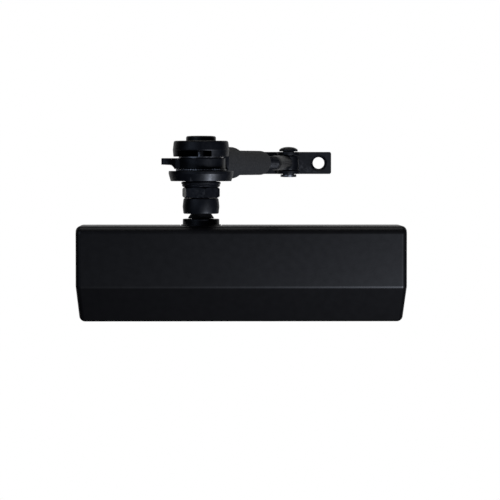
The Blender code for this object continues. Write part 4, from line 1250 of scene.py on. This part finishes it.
def softbox(name, location, aim, size, power, colour=(1.0, 1.0, 1.0)):
    light = bpy.data.lights.new(name, "AREA")
    light.shape = "RECTANGLE"
    light.size, light.size_y = size
    light.energy = power
    light.color = colour
    lamp = bpy.data.objects.new(name, light)
    lamp.location = location
    lamp.rotation_euler = (Vector(aim) - Vector(location)).to_track_quat("-Z", "Y").to_euler()
    lamp.visible_camera = False
    bpy.context.scene.collection.objects.link(lamp)


def studio():
    """White to the camera, and a dim room to everything else."""
    world = bpy.data.worlds.new("studio")
    world.use_nodes = True
    tree = world.node_tree
    room = tree.nodes["Background"]
    room.inputs["Color"].default_value = (0.80, 0.85, 1.0, 1.0)
    room.inputs["Strength"].default_value = 0.012
    white = tree.nodes.new("ShaderNodeBackground")
    white.inputs["Color"].default_value = (1.0, 1.0, 1.0, 1.0)
    white.inputs["Strength"].default_value = 1.0
    seen = tree.nodes.new("ShaderNodeLightPath")
    mix = tree.nodes.new("ShaderNodeMixShader")
    tree.links.new(seen.outputs["Is Camera Ray"], mix.inputs["Fac"])
    tree.links.new(room.outputs["Background"], mix.inputs[1])
    tree.links.new(white.outputs["Background"], mix.inputs[2])
    tree.links.new(mix.outputs["Shader"], tree.nodes["World Output"].inputs["Surface"])
    bpy.context.scene.world = world
    bpy.context.scene.view_settings.view_transform = "Standard"


def lights():
    softbox("back_wall", (0.0, 1.4, 0.25), (0, 0, 0.1), (3.6, 2.2), 13.0)
    softbox("top", (0.0, -0.05, 1.1), (0, -0.1, 0.0), (0.9, 0.5), 1.1)
    softbox("front_right", (0.30, -0.61, -0.27), (0.05, -0.05, -0.01), (0.14, 0.14), 2.7, (0.80, 0.86, 1.0))
    softbox("front_left", (-0.75, -1.0, 0.45), (-0.03, -0.2, 0.07), (0.6, 0.6), 0.9, (0.62, 0.75, 1.0))


def camera():
    """At the photograph's angle: straight on, from a little above the middle of the cover."""
    view = bpy.data.cameras.new("camera")
    view.sensor_width = 36.0
    view.lens = 208.0
    view.clip_start = 0.05
    holder = bpy.data.objects.new("camera", view)
    holder.location = (-0.028, -2.05, 0.0758)
    aim = Vector((0.0059, -0.05, 0.0169))
    holder.rotation_euler = (aim - holder.location).to_track_quat("-Z", "Y").to_euler()
    bpy.context.scene.collection.objects.link(holder)
    bpy.context.scene.camera = holder


build_cover()
build_mounting_plate()
build_closer_body()
build_end_plugs()
build_pinion_gland_lower()
build_valves()
build_screws()
build_cover_clips()
build_piston()
build_return_spring()
build_spring_seat()
build_spring_adjuster()

build_pinion_spindle()
build_pinion_gland_upper()
build_spindle_seal()
build_main_arm()
build_arm_screw()

build_elbow_stud()
build_hold_open_nut()
build_disc_spring()
build_thrust_collar()
build_ratchet_disc()
build_serrated_ring()
build_cam_plate()
build_friction_washer()
build_elbow_cap()

build_forearm_head()
build_forearm_sleeve()
build_forearm_rod()
build_shoe_bracket()
build_shoe_pin()
build_plain_rings()

plain_floor()
studio()
lights()
camera()
